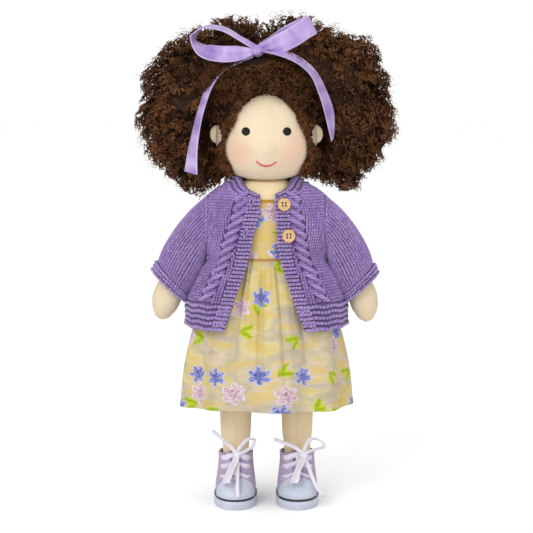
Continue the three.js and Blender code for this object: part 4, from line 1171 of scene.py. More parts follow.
def plain_rows(low, high):
    """Every stitch of the plain knitting between two shares of the way round: columns and heights."""
    columns = np.arange(math.ceil(low * ROUND), math.floor(high * ROUND)) + 0.5
    return pairs(columns, np.arange(KNIT_LOW + HEM_HEIGHT + 0.8, STITCHES_TOP, STITCH_TALL))


def make_back():
    ends = always(0.002), always(0.498)
    back = knit_panel(*ends, 70, 120)
    garter = Shape()
    hem_and_neck(garter, *ends, 6)
    garter.make("cardigan_back_garter", WOOL, BODY_BEND, slot="knit")
    made = back.make("cardigan_back_cloth", WOOL, BODY_BEND, ["cardigan_back"], "knit")
    for half, part in (("left", (0, 0.25)), ("right", (0.25, 0.5))):
        columns, rows = plain_rows(*part)
        middles = body_at(columns / ROUND, rows, -0.35)
        kept = seen_yoke(middles) & (rows < neck_rise(columns / ROUND) - 8)
        knitted = Shape()
        stitches(knitted, plain_at, columns[kept], -rows[kept] / STITCH_TALL)
        knitted.make(f"cardigan_back_stitches_{half}", WOOL, BODY_BEND, slot="knit")


def slit(shape, side, rise):
    """A buttonhole: a dark slit, painted shade on a closed disc, that two lips of yarn lie round."""
    t = np.linspace(0, 2 * np.pi, 25)
    lips = front_at(side, SLIT_AWAY + 1.15 * np.sin(t), rise + 3.0 * np.cos(t), 1.7 + 0 * t)
    shape.add(*strands(lips, 0.6, 6), tone=0.75)
    share, t = np.linspace(0.02, 1, 6)[:, None], t[:-1]
    away, up = SLIT_AWAY + 1.1 * share * np.sin(t), rise + 2.9 * share * np.cos(t)
    # Painted shade: a dark disc stands for the hollow of the slit.
    shape.add(*closed(front_at(side, away, up, 1.95 - 0.2 * share)), tone=-0.4)


def cable_middle(rise):
    """How far the cable is from the front edge: it slants outwards on its way down."""
    return np.interp(rise, [20, 34, 84, 100], [23.5, 22, 13.5, 12.5])


def add_cable(shape, side):
    """A rope cable: two ropes of four stitch columns each that wind round each other."""
    down = np.arange(-100, -(KNIT_LOW + HEM_HEIGHT + 0.5), CABLE_STEP) / CABLE_STEP
    for rope in (0, 1):
        for lane in (-1.5, -0.5, 0.5, 1.5):
            def cable_at(u, v, lift):
                phase = 2 * np.pi * v * CABLE_STEP / CABLE_PERIOD + rope * np.pi
                off = cable_middle(-v * CABLE_STEP) + CABLE_SWING * np.sin(phase) + (lane + u) * 1.35
                raised = 0.8 * lift + 0.7 + 1.35 * np.cos(phase) - 0.3 * lane**2
                return front_at(side, off, -v * CABLE_STEP, raised)
            stitches(shape, cable_at, 0 * down, down, 0.45, 3 + rope, 0.62)


def make_front(side):
    s = SIDES[side]

    def edge(rise):
        return edge_share(side, rise)

    def band_at(u, v, lift):
        return front_at(side, u * 2.6 - 0.3 * np.cos(v * np.pi), -v * BAND_STEP, lift + 0.1)

    ends = always(0.998 if s > 0 else 0.502), edge
    made = knit_panel(*ends, 70, 60).make(
        f"cardigan_{side}_front_cloth", WOOL, BODY_BEND, [f"cardigan_{side}_front"], "knit")
    garter = Shape()
    hem_and_neck(garter, *ends, 7)

    # Garter band along the front edge, one ridge above another, with slits for the buttons
    heights = np.arange(math.ceil(-BAND_TOP / BAND_STEP), -math.floor((KNIT_LOW + 0.5) / BAND_STEP))
    purls(garter, band_at, np.arange(4) + 0.1, heights, 0.98, 8)
    if s < 0:
        for x, rise in BUTTONS.values():
            slit(garter, side, rise + SLIT_RISE)
    garter.make(f"cardigan_{side}_front_garter", WOOL, BODY_BEND, slot="knit")

    # Plain stitches between the side and the cable
    knitted = Shape()
    columns, rows = plain_rows(0.5, 0.75) if s < 0 else plain_rows(0.75, 1.0)
    share = columns / ROUND
    away = s * (share - edge(rows)) * ring_round(rows)
    beside = (np.abs(away - cable_middle(rows)) > CABLE_WIDTH / 2) & (away > BAND_WIDTH + 0.6)
    kept = seen_yoke(body_at(share, rows)) & beside & (rows < neck_rise(share) - 7)
    stitches(knitted, plain_at, columns[kept], -rows[kept] / STITCH_TALL, seed=2, tone=0.6)
    add_cable(knitted, side)
    knitted.make(f"cardigan_{side}_front_stitches", WOOL, BODY_BEND, slot="knit")

    # The raglan line
    seam = Shape()
    rise = np.linspace(50.5, 88, 22)
    x = 44.6 - 5.4 * smooth(50, 90, rise)
    ridge(seam, xyz(s * x, knit_front(x, rise, 0.1), HIP + rise), 0.95, 17, 0.6)
    seam.make(f"raglan_{side}_ridge", WOOL, "torso", slot="knit")


# Sleeves. Rings are [place, upper x, upper z, lower x, lower z, half depth] from the armhole.
SLEEVE_START = 45.3
SLEEVE_END = 4.1
SLEEVE_RINGS = [
    [0, 0, 16, 0, -30, 16.4], [1, 12.7, 5, 4.3, -39, 16.2], [2, 25.1, -10, 8.7, -48.4, 15.8],
    [3, 34.7, -26.4, 13.1, -57.6, 15.2], [4, 41.1, -43, 16.1, -65.6, 15],
    [SLEEVE_END, 42.1, -44.6, 16.7, -67, 14.6],
]
SLEEVE_HANG = 3.6
SLEEVE_ROUND = 46
SLEEVE_LONG = 27
SLEEVE_JOIN = 1.6
CUFF_ROUND = 42
ARMHOLE_BEADS = 36


def sleeve_at(side, turn, key, lift=0.0):
    """A place on a sleeve: the angle round it, 0 at its upper edge, and the place along it."""
    upper_x, upper_z, lower_x, lower_z, depth = columns_at(SLEEVE_RINGS, key)
    share = np.asarray(key) / SLEEVE_END
    upper = arm_place(side, SLEEVE_START + upper_x, upper_z, share)
    lower = arm_place(side, SLEEVE_START + lower_x, lower_z, share)
    half = (upper - lower) / 2
    half = half + unit(half) * np.asarray(lift, float)[..., None]
    hang = SLEEVE_HANG * smooth(0.2, 1.2, key) * smooth(3.7, 2.4, key) * smooth(0, -1, np.cos(turn))
    deep = xyz(0.0, (depth + lift) * np.sin(turn), 0.0)
    middle = (upper + lower) / 2
    return middle + half * np.cos(turn)[..., None] + deep - unit(half) * np.asarray(hang)[..., None]


def make_sleeve(side):
    start = SIDES[side] * SLEEVE_START
    end = SIDES[side] * SLEEVE_JOIN + start
    bend = ("torso", f"{side}_arm", metres(start, 0, SHOULDER), metres(end, 0, SHOULDER))
    turn, key = np.meshgrid(angles(64), np.linspace(0, SLEEVE_END, 40))
    lumps = 0.35 * np.sin(3 * key + 2 * np.cos(turn))
    outer = sleeve_at(side, turn, key, -KNIT_DEPTH + 0.3 * lumps)
    points, faces = slab(outer, sleeve_at(side, turn, key, KNIT_BACK + 0 * key), True)
    sleeve = Shape().add(points, faces, tone=painted_shade_tones(points))
    made = sleeve.make(f"sleeve_{side}_cloth", WOOL, bend, [f"cardigan_{side}_sleeve"], "knit")

    def place(u, v, lift):
        return sleeve_at(side, u * 2 * np.pi / SLEEVE_ROUND, v * 3.6 / SLEEVE_LONG, lift - 0.3)

    def cuff(u, v, lift):
        return sleeve_at(side, u * 2 * np.pi / CUFF_ROUND, 3.7 + 0.165 * v, 1.5 * lift + 0.9)

    knitted = Shape()
    stitches(knitted, place, *pairs(np.arange(SLEEVE_ROUND) + 0.5, np.arange(SLEEVE_LONG) + 0.5), 0.48, 5)
    purls(knitted, cuff, np.arange(CUFF_ROUND), np.arange(3), 1.0, 9)
    turn = np.linspace(0, 2 * np.pi, ARMHOLE_BEADS * 4 + 1)
    ridge(knitted, sleeve_at(side, turn, 0.03 + 0 * turn, -0.35 + 0 * turn), 1.1, ARMHOLE_BEADS, 0.8)
    knitted.make(f"sleeve_{side}_stitches", WOOL, bend, slot="knit")


# Buttons. Rows of the rim are [inwards from the radius, height].
BUTTON_RADIUS = 5
BUTTON_FACE = 1.6
BUTTON_DISH = 3.35
BUTTON_STAND = 1.15
BUTTON_HOLE = 0.8
BUTTON_SPACING = 2.5
BUTTON_HOLES = [[-1, -1], [-1, 1], [1, 1], [1, -1]]
BUTTON_RIM = [
    [0.5, 0], [0.1, 0.3], [0, 0.8], [0.05, 1.7], [0.35, 2.1], [0.75, 2.2], [1.15, 2.05], [1.4, 1.75],
]
BUTTON_SHANK = [[0.5, -0.9], [2.4, -0.8], [2.5, -0.5], [0.5, -0.4]]


def way_out(front, x, z, near):
    """The way a front faces at a place, from how far forward it lies close by."""
    slope_x = front(x + near, z) - front(x - near, z)
    slope_z = front(x, z + near) - front(x, z - near)
    return unit(np.array([slope_x, -2 * near, slope_z]))


def circle(count):
    return np.stack([np.cos(angles(count)), np.sin(angles(count))], -1)


def make_button(name, x, rise):
    """A turned wooden button with four holes, and the wool through them."""
    out = way_out(knit_front, x, rise, 3)
    place = np.array([x, knit_front(x, rise), HIP + rise]) + out * BUTTON_STAND
    across = unit(np.cross([0, 0, 1.0], out))
    up = np.cross(out, across)

    def on_face(flat, height):
        return place + across * flat[..., :1] + up * flat[..., 1:] + out * height

    sides, hole_sides = 40, 14
    rim = circle(sides)
    profile = [
        [BUTTON_DISH, 0], *([BUTTON_RADIUS - inwards, height] for inwards, height in BUTTON_RIM),
        [BUTTON_DISH, BUTTON_FACE],
    ]
    rings = np.array([on_face(rim * radius, height) for radius, height in profile])
    button = Shape().add(rings, [grid(len(profile), sides, True)])

    # The two faces, cut into triangles round the holes, and the walls of the holes
    spots = np.array(BUTTON_HOLES) * BUTTON_SPACING / 2
    loops = [spot + BUTTON_HOLE * circle(hole_sides) for spot in spots]
    flat = np.concatenate([rim * BUTTON_DISH, *loops])
    starts = [0] + [sides + hole_sides * k for k in range(len(spots) + 1)]
    edges = [(a + i, a + (i + 1) % (b - a)) for a, b in zip(starts[:-1], starts[1:]) for i in range(b - a)]
    found = delaunay_2d_cdt([Vector(p) for p in flat], edges, [], 1, 1e-6)
    corners = np.array([list(p) for p in found[0]])
    triangles = np.array([list(face) for face in found[2]])
    middles = corners[triangles].mean(1)
    solid = np.all([np.hypot(*(middles - spot).T) > BUTTON_HOLE for spot in spots], axis=0)
    for height, order in ((BUTTON_FACE, 1), (0.0, -1)):
        button.add(on_face(corners, height), [triangles[solid][:, ::order]])
    for loop in loops:
        button.add(np.array([on_face(loop, BUTTON_FACE), on_face(loop, 0)]), [grid(2, hole_sides, True)])
    button.make(f"{name}_wood", WOOD, "torso", [name], "button_wood")

    wool = Shape()
    t = np.linspace(0, np.pi, 12)[:, None]
    for start, end in (spots[[0, 1]], spots[[3, 2]]):
        path = on_face(start + (end - start) * (1 - np.cos(t)) / 2, -0.4 + 2.25 * np.sin(t) ** 0.4)
        wool.add(*strands(path, 0.3, 8), tone=0.1)
    wool.add(*closed(lathe(BUTTON_SHANK, 16, place, out)[0]), tone=0.3)
    wool.make(f"{name}_wool", WOOL, "torso", [f"{name}_thread"], "knit")


# Shoes. Profiles of the sole and its stripe are [outwards from the shoe's outline, height], with the
# stripe's heights as shares of its thickness. Lace stops are [x from the shoe's middle, y, height].
SOLE_PROFILE = [
    [-3, 0.5], [-1.2, 0.15], [-0.4, 0.0], [0.5, 0.25], [1.0, 0.9], [1.1, 1.7], [0.85, 1.95], [1.1, 2.2],
    [1.1, 5.6], [0.9, 6.3], [0.4, 6.6], [-2.5, 6.6],
]
STRIPE_PROFILE = [[-1, 0], [0.8, 0], [1.0, 0.3], [1.0, 0.7], [0.6, 1], [-1, 1], [-1, 0]]
STRIPE_HEIGHT = 6.9
STRIPE_THICK = {"left": 1.45, "right": 0.7}
CANVAS_FOOT = SHOE_ROWS[0][0]
TOE_CAP_EDGE = -29.5
TOE_CAP_TOP = 22.3
THROAT_HALF = 4.4
THROAT_FOOT = 20
SHOE_STITCH = 1.5
TONGUE_HALF = 6.4
EYELET_HEIGHTS = [22.2, 28.6, 34.8]
EYELET_REACH = 9
EYELET_PROFILE = [
    [0.75, -1.4], [1.05, -1.4], [1.05, 0.1], [1.6, 0.12], [1.72, 0.25], [1.6, 0.42], [1.35, 0.52],
    [1.0, 0.45], [0.78, 0.25], [0.75, -1.4],
]
LACE_WIDTH = 3.4
LACE_THICK = 0.9
BAR_HALF = 11.2
BAR_RISE = 4.2
BOW_WAYS = {"upright": [0.72, 0.4, -0.56], "flat": [0.97, -0.1, 0.2], "slant": [0.5, 0.5, 0.7]}
BOW_HALVES = {
    "first": ("loop", "down", "upright", "flat", 0.85),
    "second": ("flap", "up", "flat", "slant", 1.0),
}
LACE_KNOT = {"left": [4.6, -18.8, 38.4], "right": [1.2, -18.8, 38.4]}
KNOT_PROFILE = [[0.1, -2], [1.5, -1.4], [2.1, 0], [1.5, 1.4], [0.1, 2]]
BOWS = {
    "right": {
        "loop": [
            [1.4, -19, 40.2], [5.4, -21, 46.4], [10, -23, 51], [14.4, -24, 51.6], [14, -23.6, 47],
            [9, -22, 42], [3, -19.6, 38.4],
        ],
        "flap": [
            [0.4, -18.8, 37], [-2.6, -26, 31.6], [-6, -33, 25.6], [-8, -39.6, 20.4], [-6.4, -42, 21.4],
            [-2.6, -35, 28.4], [0.8, -20.4, 38.6],
        ],
        "up": [[0.4, -19.4, 39.4], [-4, -20.6, 45], [-10.4, -22, 51.4], [-18, -22, 57.6]],
        "down": [[1.6, -19.6, 37.4], [1.8, -28, 30.4], [1.8, -36, 23.4], [1.8, -43.4, 17.6], [2, -46, 11]],
    },
    "left": {
        "loop": [
            [4.8, -19, 40.2], [6.8, -21, 46.2], [11, -23, 51.4], [17.6, -25, 50.4], [20.4, -25, 46.4],
            [14, -22.4, 43], [6.4, -19.6, 38.6],
        ],
        "flap": [
            [3.8, -18.8, 37], [1, -26, 31.6], [-2, -33, 25.6], [-4, -39.6, 20.4], [-2, -42, 21.4],
            [0.8, -35, 28.4], [4.4, -20.4, 38.6],
        ],
        "up": [[3.8, -19.4, 39.4], [-1.6, -20.6, 44], [-9.4, -22, 47.6], [-18.4, -22, 50.8]],
        "down": [
            [5.2, -19.6, 37.4], [8.4, -26.6, 30.4], [11.6, -32.4, 22.4], [15.6, -35, 14.6], [20.2, -34, 8.4],
        ],
    },
}


def shoe_front(x, z, grow=0.0):
    """How far forward the shoe lies at a place seen from the front, x from its middle."""
    toe, heel, half = columns_at(SHOE_ROWS, z)
    share = np.minimum(np.abs(x) / (half + grow), 0.999)
    curve = (1 - share**SHOE_POWER) ** (1 / SHOE_POWER)
    return (toe + heel) / 2 - ((heel - toe) / 2 + grow) * curve


def make_sole(side):
    body, turn = f"{side}_leg", angles(96)
    rings = np.array([shoe_ring(side, CANVAS_FOOT, turn, grow, z) for grow, z in SOLE_PROFILE])
    sole = Shape().add(*closed(rings))
    sole.make(f"{side}_sole_rubber", RUBBER, body, [f"{side}_sole"], "sole_rubber")
    rings = np.array([
        shoe_ring(side, CANVAS_FOOT, turn, grow, STRIPE_HEIGHT + STRIPE_THICK[side] * share)
        for grow, share in STRIPE_PROFILE
    ])
    stripe = Shape().add(rings, [grid(len(rings), len(turn), True)])
    stripe.make(f"{side}_stripe_rubber", BLACK_RUBBER, body, [f"{side}_sole_stripe"], "stripe_rubber")


def make_toe_cap(side):
    """A moulded cap over the toes, with a rolled edge where it meets the canvas."""
    share, u = np.linspace(0, 1, 30)[:, None], np.linspace(-1, 1, 60)[None, :]

    def cap_at(grow, share, u):
        height = CANVAS_FOOT + (TOE_CAP_TOP - CANVAS_FOOT) * share
        toe, heel, _ = columns_at(SHOE_ROWS, height)
        reach = np.clip((TOE_CAP_EDGE - (toe + heel) / 2) / ((toe - heel) / 2), 0, 0.9999)
        return shoe_ring(side, height, FRONT + np.arccos(reach ** (SHOE_POWER / 2)) * u, grow, height)

    puff = 0.45 * smooth(0, 0.25, share) * smooth(1, 0.75, share)
    cap = Shape().add(*slab(cap_at(0.35 + puff, share, u), cap_at(-1.2, share, u)))
    edge = np.concatenate([cap_at(0.35, share, -1)[:, 0], cap_at(0.35, share[::-1], 1)[1:, 0]])
    cap.add(*strands(edge, 0.55, 8))
    cap.make(f"{side}_toe_cap_rubber", RUBBER, f"{side}_leg", [f"{side}_toe_cap"], "sole_rubber")


def upper_at(side, u, share, grow=0.0):
    """The canvas upper: u goes from one edge of the throat round the heel to the other edge, and share
    from the sole up to the collar."""
    z = CANVAS_FOOT + (COLLAR - CANVAS_FOOT) * share
    gap = THROAT_HALF * smooth(THROAT_FOOT - 1.5, THROAT_FOOT + 2, z)
    start = np.arcsin(np.minimum(gap / columns_at(SHOE_ROWS, z)[2], 0.99) ** (SHOE_POWER / 2))
    turn = FRONT + start + (2 * np.pi - 2 * start) * u
    by_throat = bell(u, 0.07) + bell(1 - u, 0.07)
    return shoe_ring(side, z, turn, grow, z + 1.8 * smooth(0.75, 1, share) * by_throat)


def make_upper(side):
    body = f"{side}_leg"
    u, share = np.linspace(0, 1, 150)[None, :], np.linspace(0, 1, 44)[:, None]
    uv = np.stack(np.broadcast_arrays(u * 95, CANVAS_FOOT + 32 * share), -1)
    side_seams = bell(u - 0.3, 0.006) + bell(u - 0.7, 0.006) + 0 * share
    points, faces = slab(upper_at(side, u, share), upper_at(side, u, share, -CANVAS_DEPTH))
    upper = Shape().add(points, faces, uv, side_seams)

    # Binding round the collar and down both edges of the throat
    rim, down = np.linspace(0, 1, 120), np.linspace(1, 0.36, 30)
    edge = np.concatenate([
        upper_at(side, 0 * down, down[::-1], -0.5)[:-1], upper_at(side, rim, 1 + 0 * rim, -0.5)[:-1],
        upper_at(side, 1 + 0 * down, down, -0.5),
    ])
    upper.add(*piping(edge, 1.05, 0.8 * (len(edge) - 1)), tone=0.15)
    upper.make(f"{side}_canvas_upper", CANVAS, body, [f"{side}_shoe_upper"], "shoe_canvas")

    # A row of stitches inside the binding, and one down each side seam
    thread = Shape()
    seam, round_collar = np.linspace(0.97, 0.05, 30), np.linspace(0.03, 0.97, 30)
    for u, share in ((0.022, down), (0.978, down), (0.29, seam), (0.71, seam), (round_collar, 0.92)):
        line = upper_at(side, u + 0 * down, share + 0 * down, 0.12)
        count = int(length_along(line)[-1] / SHOE_STITCH)
        dashes = route(line, count * 5).reshape(count, 5, 3)[:, :4]
        thread.add(*strands(dashes, 0.2 * np.array([0.4, 1, 1, 0.4])))
    thread.make(f"{side}_shoe_stitching", LACE, body, slot="lace")


def make_tongue(side):
    """A padded strip under the laces, with a rounded top."""
    across, lift = np.meshgrid(np.linspace(-1, 1, 17), np.linspace(0, 1, 30))
    x = TONGUE_HALF * (1 - 0.25 * smooth(0.82, 1, lift) * across**2) * across
    z = 17 + 24 * lift - 1.6 * smooth(0.85, 1, lift) * across**2
    y = shoe_front(x, z, -CANVAS_DEPTH - 0.35) - 1.2 * smooth(0.88, 1, lift)
    outer = xyz(SIDES[side] * LEG_X + x, y, z)
    tongue = Shape().add(*slab(outer, outer + (0, 1.0, 0)), np.stack([x, z], -1))
    tongue.make(f"{side}_canvas_tongue", CANVAS, f"{side}_leg", [f"{side}_tongue"], "shoe_canvas")


def make_eyelets(side):
    s = SIDES[side]
    for number, z in enumerate(EYELET_HEIGHTS, 1):
        for edge, x in (("inner", -s * EYELET_REACH), ("outer", s * EYELET_REACH)):
            place, out = (s * LEG_X + x, shoe_front(x, z), z), way_out(shoe_front, x, z, 0.5)
            name = f"{side}_eyelet_{edge}_{number}"
            ring = Shape().add(*lathe(EYELET_PROFILE, 24, place, out))
            ring.make(f"{name}_ring", BRASS, f"{side}_leg", [name], "eyelet_brass")


def lace_run(centres, ways, width):
    """Points, faces and cloth coordinates of a woven lace: a flat band with rounded edges."""
    columns = 9
    outer, inner, uv = tape(centres, ways, width, LACE_THICK, 0.0, columns)
    thin = (1 - 0.75 * np.abs(np.linspace(-1, 1, columns)) ** 6)[None, :, None]
    middle = (outer + inner) / 2
    return *slab(middle + (outer - middle) * thin, middle + (inner - middle) * thin), uv


def make_bars(side):
    """The laces from eyelet to eyelet, and the run of lace under them."""
    middle = SIDES[side] * LEG_X
    bars = Shape()
    x = np.linspace(-BAR_HALF, BAR_HALF, 33)
    t = 1 - np.abs(x / BAR_HALF)
    for k, z in enumerate(EYELET_HEIGHTS):
        height = z - 1.0 + BAR_RISE * t
        y = shoe_front(x, height) - (-0.4 + 1.7 * smooth(0, 0.22, t))
        ways = unit(xyz(0 * x, -0.55 + 0.25 * k, 1.0)) * np.minimum(1, 0.75 + 2.4 * t)[:, None]
        bars.add(*lace_run(xyz(middle + x, y, height), ways, LACE_WIDTH + 0.9))
    z = np.linspace(EYELET_HEIGHTS[0] + 1, EYELET_HEIGHTS[-1] + 1.5, 20)
    under = xyz(middle, shoe_front(0 * z, z) - 0.45, z)
    bars.add(*lace_run(under, np.tile([1.0, 0, 0], (len(z), 1)), 2.4))
    bars.make(f"{side}_lace_bars", LACE, f"{side}_leg", [f"{side}_lace"], "lace")


def make_bow(side):
    """Each half of the bow: out of the knot, round its loop, through the knot and on to its free end."""
    shoe = np.array([SIDES[side] * LEG_X, 0, 0])
    for half, (loop, end, loop_way, end_way, share) in BOW_HALVES.items():
        stops = [[*p, *BOW_WAYS[loop_way]] for p in BOWS[side][loop]]
        ends = [[*p, *(np.array(BOW_WAYS[end_way]) * share)] for p in BOWS[side][end]]
        line = route(stops + ends[1:], 70)
        centres = line[:, :3] + shoe
        twist = 0.12 * np.sin(np.linspace(0, 9, len(line)))
        run = Shape().add(*lace_run(centres, line[:, 3:] + xyz(0, twist, -twist), LACE_WIDTH))
        bow = [f"{side}_lace_bow"] if half == "first" else ()
        made = run.make(f"{side}_lace_{half}_half", LACE, f"{side}_leg", bow, "lace")


def make_lace_knot(side):
    """Two turns of lace drawn tight."""
    x, y, z = np.array([SIDES[side] * LEG_X, 0, 0]) + LACE_KNOT[side]
    turn = np.linspace(0, 2 * np.pi, 33)
    knot = Shape()
    for tilt, size in ((0.5, 2.3), (-0.6, 2.0)):
        path = xyz(
            x + size * 1.1 * np.sin(turn) * np.cos(tilt), y + 1.7 * np.cos(turn),
            z + size * np.sin(turn) * np.sin(tilt) + 0.3 * np.cos(turn),
        )
        knot.add(*lace_run(path, np.tile([-np.sin(tilt), 0, np.cos(tilt)], (len(turn), 1)), 3.2))
    knot.add(*lathe(KNOT_PROFILE, 16, (x, y, z), (0, 0, 1)))
    knot.make(f"{side}_lace_knot", LACE, f"{side}_leg", slot="lace")


# Ribbon. Stops are [x, y, height above the chin crease, then the way of its width].
RIBBON_THICK = 0.6
RIBBON_KNOT = [-6.5, -26.6, 98]
RIBBON_KNOT_HALF = [4.6, 4, 4.4]
BAND_HALF = (43.8, 50.5)
BAND_MIDDLE = (6, 49)
BAND_LEAN = 0.28
RIBBON = {
    "loop_right": [
        [-8, -22, 101, 0, 0.42, 0.12], [-19, -21, 107.5, 0, 0.85, 0.2], [-34, -20, 115, 0.1, 1, 0.2],
        [-47, -20, 116, 0.15, 0.95, 0.1], [-55, -22, 108, 0.2, 0.95, 0.1], [-49, -26, 99.5, 0, 0.8, 0.6],
        [-34, -29, 95.5, 0, 0.6, 0.8], [-20, -28, 96, 0, 0.5, 0.7], [-8.6, -25.6, 97.2, 0, 0.3, 0.25],
    ],
    "loop_left": [
        [-5, -25, 99.6, 0.1, 0.2, -0.35], [6, -31, 102, 0.35, 0.2, -0.8], [20, -32, 108.5, 0.5, 0.2, -0.95],
        [31, -30, 115.5, 0.55, 0.2, -0.95], [34.4, -26, 117.5, 0.55, 0, -0.95],
        [30, -23, 116, 0.5, -0.1, -0.9], [17, -21.5, 110, 0.45, -0.1, -0.85],
        [5, -21.5, 104.4, 0.3, -0.1, -0.6], [-4.6, -22, 100.6, 0.1, -0.1, -0.35],
    ],
    "tail_right": [
        [-10.6, -24, 97, -0.2, 0.5, 0.3], [-22, -22, 93, -0.2, 0.8, 0.5], [-34, -23.5, 84, -0.2, 0.9, 0.2],
        [-43, -28.5, 72, -0.3, 0.95, 0], [-49, -28.5, 56, -0.33, 0.94, 0], [-53, -28, 40, -0.36, 0.93, 0],
        [-56, -27, 24, -0.46, 0.89, 0], [-57.4, -25, 6, -0.66, 0.75, 0.05],
    ],
    "tail_left": [
        [-2.6, -28.6, 98.4, 0.1, 0.5, 0.2], [9, -33, 96.6, 0.1, 0.9, 0.3], [22, -33, 92, 0.15, 0.94, 0.3],
        [34, -31.5, 82, 0.25, 0.94, 0.22], [42, -30.5, 67, 0.38, 0.91, 0.15],
        [46.6, -29.5, 53, 0.46, 0.88, 0.1], [48.6, -28.5, 41, 0.34, 0.93, 0.1],
        [49.6, -28, 31, 0.12, 0.99, 0],
    ],
}


def ribbon_line(name, count):
    line = route(RIBBON[name], count)
    return line[:, :3] + (0, 0, CHIN), line[:, 3:]


def make_ribbon(name):
    """A loop or a tail, drawn into pleats near the knot."""
    count, columns = 110, 15
    centres, ways = ribbon_line(name, count)
    share = np.linspace(0, 1, count)
    near_knot = bell(share, 0.12)
    if name.startswith("loop"):
        near_knot = near_knot + bell(1 - share, 0.12)
    cup = 0.5 + 0.9 * near_knot + 0.25 * np.sin(share * 17)
    outer, inner, uv = tape(centres, ways, RIBBON_WIDTH, RIBBON_THICK, cup, columns)
    wave = np.cos(np.linspace(-1, 1, columns) * 7 + 1.4 * np.sin(share * 9)[:, None])
    pleat = unit(outer - inner) * ((near_knot[:, None] + 0.3) * 0.5 * wave)[..., None]
    run = Shape().add(*slab(outer + pleat, inner + pleat), uv)
    made = run.make(f"ribbon_{name}_satin", SATIN, "torso", [f"ribbon_{name}"], "ribbon")


def make_ribbon_knot():
    """The knot, drawn into folds that run over it."""
    up, turn = globe(30, 48, 0.03)
    fold = 1 + 0.09 * np.sin(up) * np.cos(5 * turn + 2.5 * np.cos(up))
    x = RIBBON_KNOT_HALF[0] * np.sin(up) * np.cos(turn) * fold
    y = RIBBON_KNOT_HALF[1] * np.sin(up) * np.sin(turn) * fold
    z = RIBBON_KNOT_HALF[2] * np.cos(up) * (1 + 0.08 * np.cos(turn * 2))
    uv = np.stack(np.broadcast_arrays(3 + 9 * (turn / 6.3), up * 5), -1).reshape(-1, 2)
    knot = Shape().add(*closed(xyz(x, y, z) + RIBBON_KNOT + (0, 0, CHIN)), [*uv, (7, 0), (7, 16)])
    knot.make("ribbon_knot_satin", SATIN, "torso", ["ribbon_knot"], "ribbon")


def make_ribbon_band():
    """The band round the wig, under the curls."""
    turn = np.linspace(0.12 * np.pi, 1.88 * np.pi, 90)
    back, rise = math.sin(BAND_LEAN), math.cos(BAND_LEAN)
    up = BAND_HALF[1] * np.sin(turn)
    y = BAND_MIDDLE[0] - up * back + 6 * smooth(20, -8, up)
    centres = xyz(BAND_HALF[0] * np.cos(turn), y, CHIN + BAND_MIDDLE[1] + up * rise)
    centres = centres[centres[:, 2] > CHIN + 9]
    ways = np.tile([0.0, rise, back], (len(centres), 1))
    outer, inner, uv = tape(centres, ways, RIBBON_WIDTH, RIBBON_THICK, 0.2, 9)
    band = Shape().add(*slab(outer, inner), uv)
    band.make("ribbon_band_satin", SATIN, "torso", ["ribbon_band"], "ribbon")


# Hair. The opening for the face is [height above the chin crease, half width], and the reach of a
# puff [degrees round it seen from the front, share of its plain form].
CAP_SIDE = 3.4
CAP_TOP = 10.5
NAPE = 8
EAR_MIDDLE = (39.8, 34)
EAR_CLEAR = (5.6, 8.8)
TAIL_COVERED = 18  # of 40 steps along the right tail, where curls of the crown lie over it
GOLDEN_TURN = 2.39996
LOOSE_THICK = (0.16, 0.16)  # from, to
FACE_OPENING = [
    [-8, 25], [6, 25], [15, 28.5], [25, 31], [34, 29], [42, 24.5], [51, 21], [58.5, 15], [63.5, 8.5],
    [66.5, 0],
]
PUFF_CENTRE = [42, 15, 56]
PUFF_HALF = [57, 31, 75]
PUFF_LEAN = 15
PUFF_REACH = {
    "right": [
        [-180, 0.95], [-102, 0.82], [-88, 0.92], [-80, 1.02], [-64, 0.9], [-54, 0.89], [-40, 0.96],
        [-28, 0.96], [-13, 1.03], [4, 0.94], [20, 1.04], [32, 1], [51, 0.95], [69, 0.9], [83, 0.87],
        [96, 0.89], [104, 0.97], [114, 1.02], [125, 1.05], [140, 1.05], [180, 0.95],
    ],
    "left": [
        [-180, 0.95], [-102, 0.82], [-84, 0.8], [-73, 0.93], [-66, 0.97], [-57, 0.89], [-48, 0.87],
        [-41, 0.97], [-33, 0.9], [-25, 1], [-6, 1.02], [13, 0.94], [23, 1.04], [31, 0.94], [40, 1.03],
        [54, 1.06], [62, 0.94], [72, 0.87], [94, 0.89], [102, 0.96], [110, 1.05], [125, 1.06], [140, 1.05],
        [180, 0.95],
    ],
}


def cap_at(height, angle, grow):
    """A place on the wig's cap."""
    rise = smooth(HEAD_TOP / 2, HEAD_TOP, height)
    reach = grow + 0.35 + CAP_SIDE + (CAP_TOP - CAP_SIDE) * rise
    return head_at(height, angle, reach) + xyz(0.0, 0.0, (grow + CAP_TOP) * rise)


def curls(roots, ways, lengths, radius, turns, thick, steps, random, droop=0.0):
    """Ringlets: helices from their roots along a way that droops, drawn in towards both ends."""
    t = np.linspace(0, 1, steps)
    ways = unit(ways)
    bend = np.array([0, 0, -1.0]) * droop
    line = roots[:, None] + (ways[:, None] * t[:, None] + bend * t[:, None] ** 2) * lengths[:, None, None]
    along = unit(ways[:, None] + 2 * bend * t[:, None])
    side = unit(np.cross(along, random.normal(size=(len(roots), 1, 3))))
    up = np.cross(along, side)
    phase = random.uniform(0, 6.3, (len(roots), 1)) + turns[:, None] * 2 * np.pi * t
    swell = radius[:, None] * np.sin(0.35 + 2.3 * t) * random.uniform(0.8, 1.2, (len(roots), 1))
    line = line + (side * np.cos(phase)[..., None] + up * np.sin(phase)[..., None]) * swell[..., None]
    return line, thick[:, None] * (1 - 0.75 * t**2)


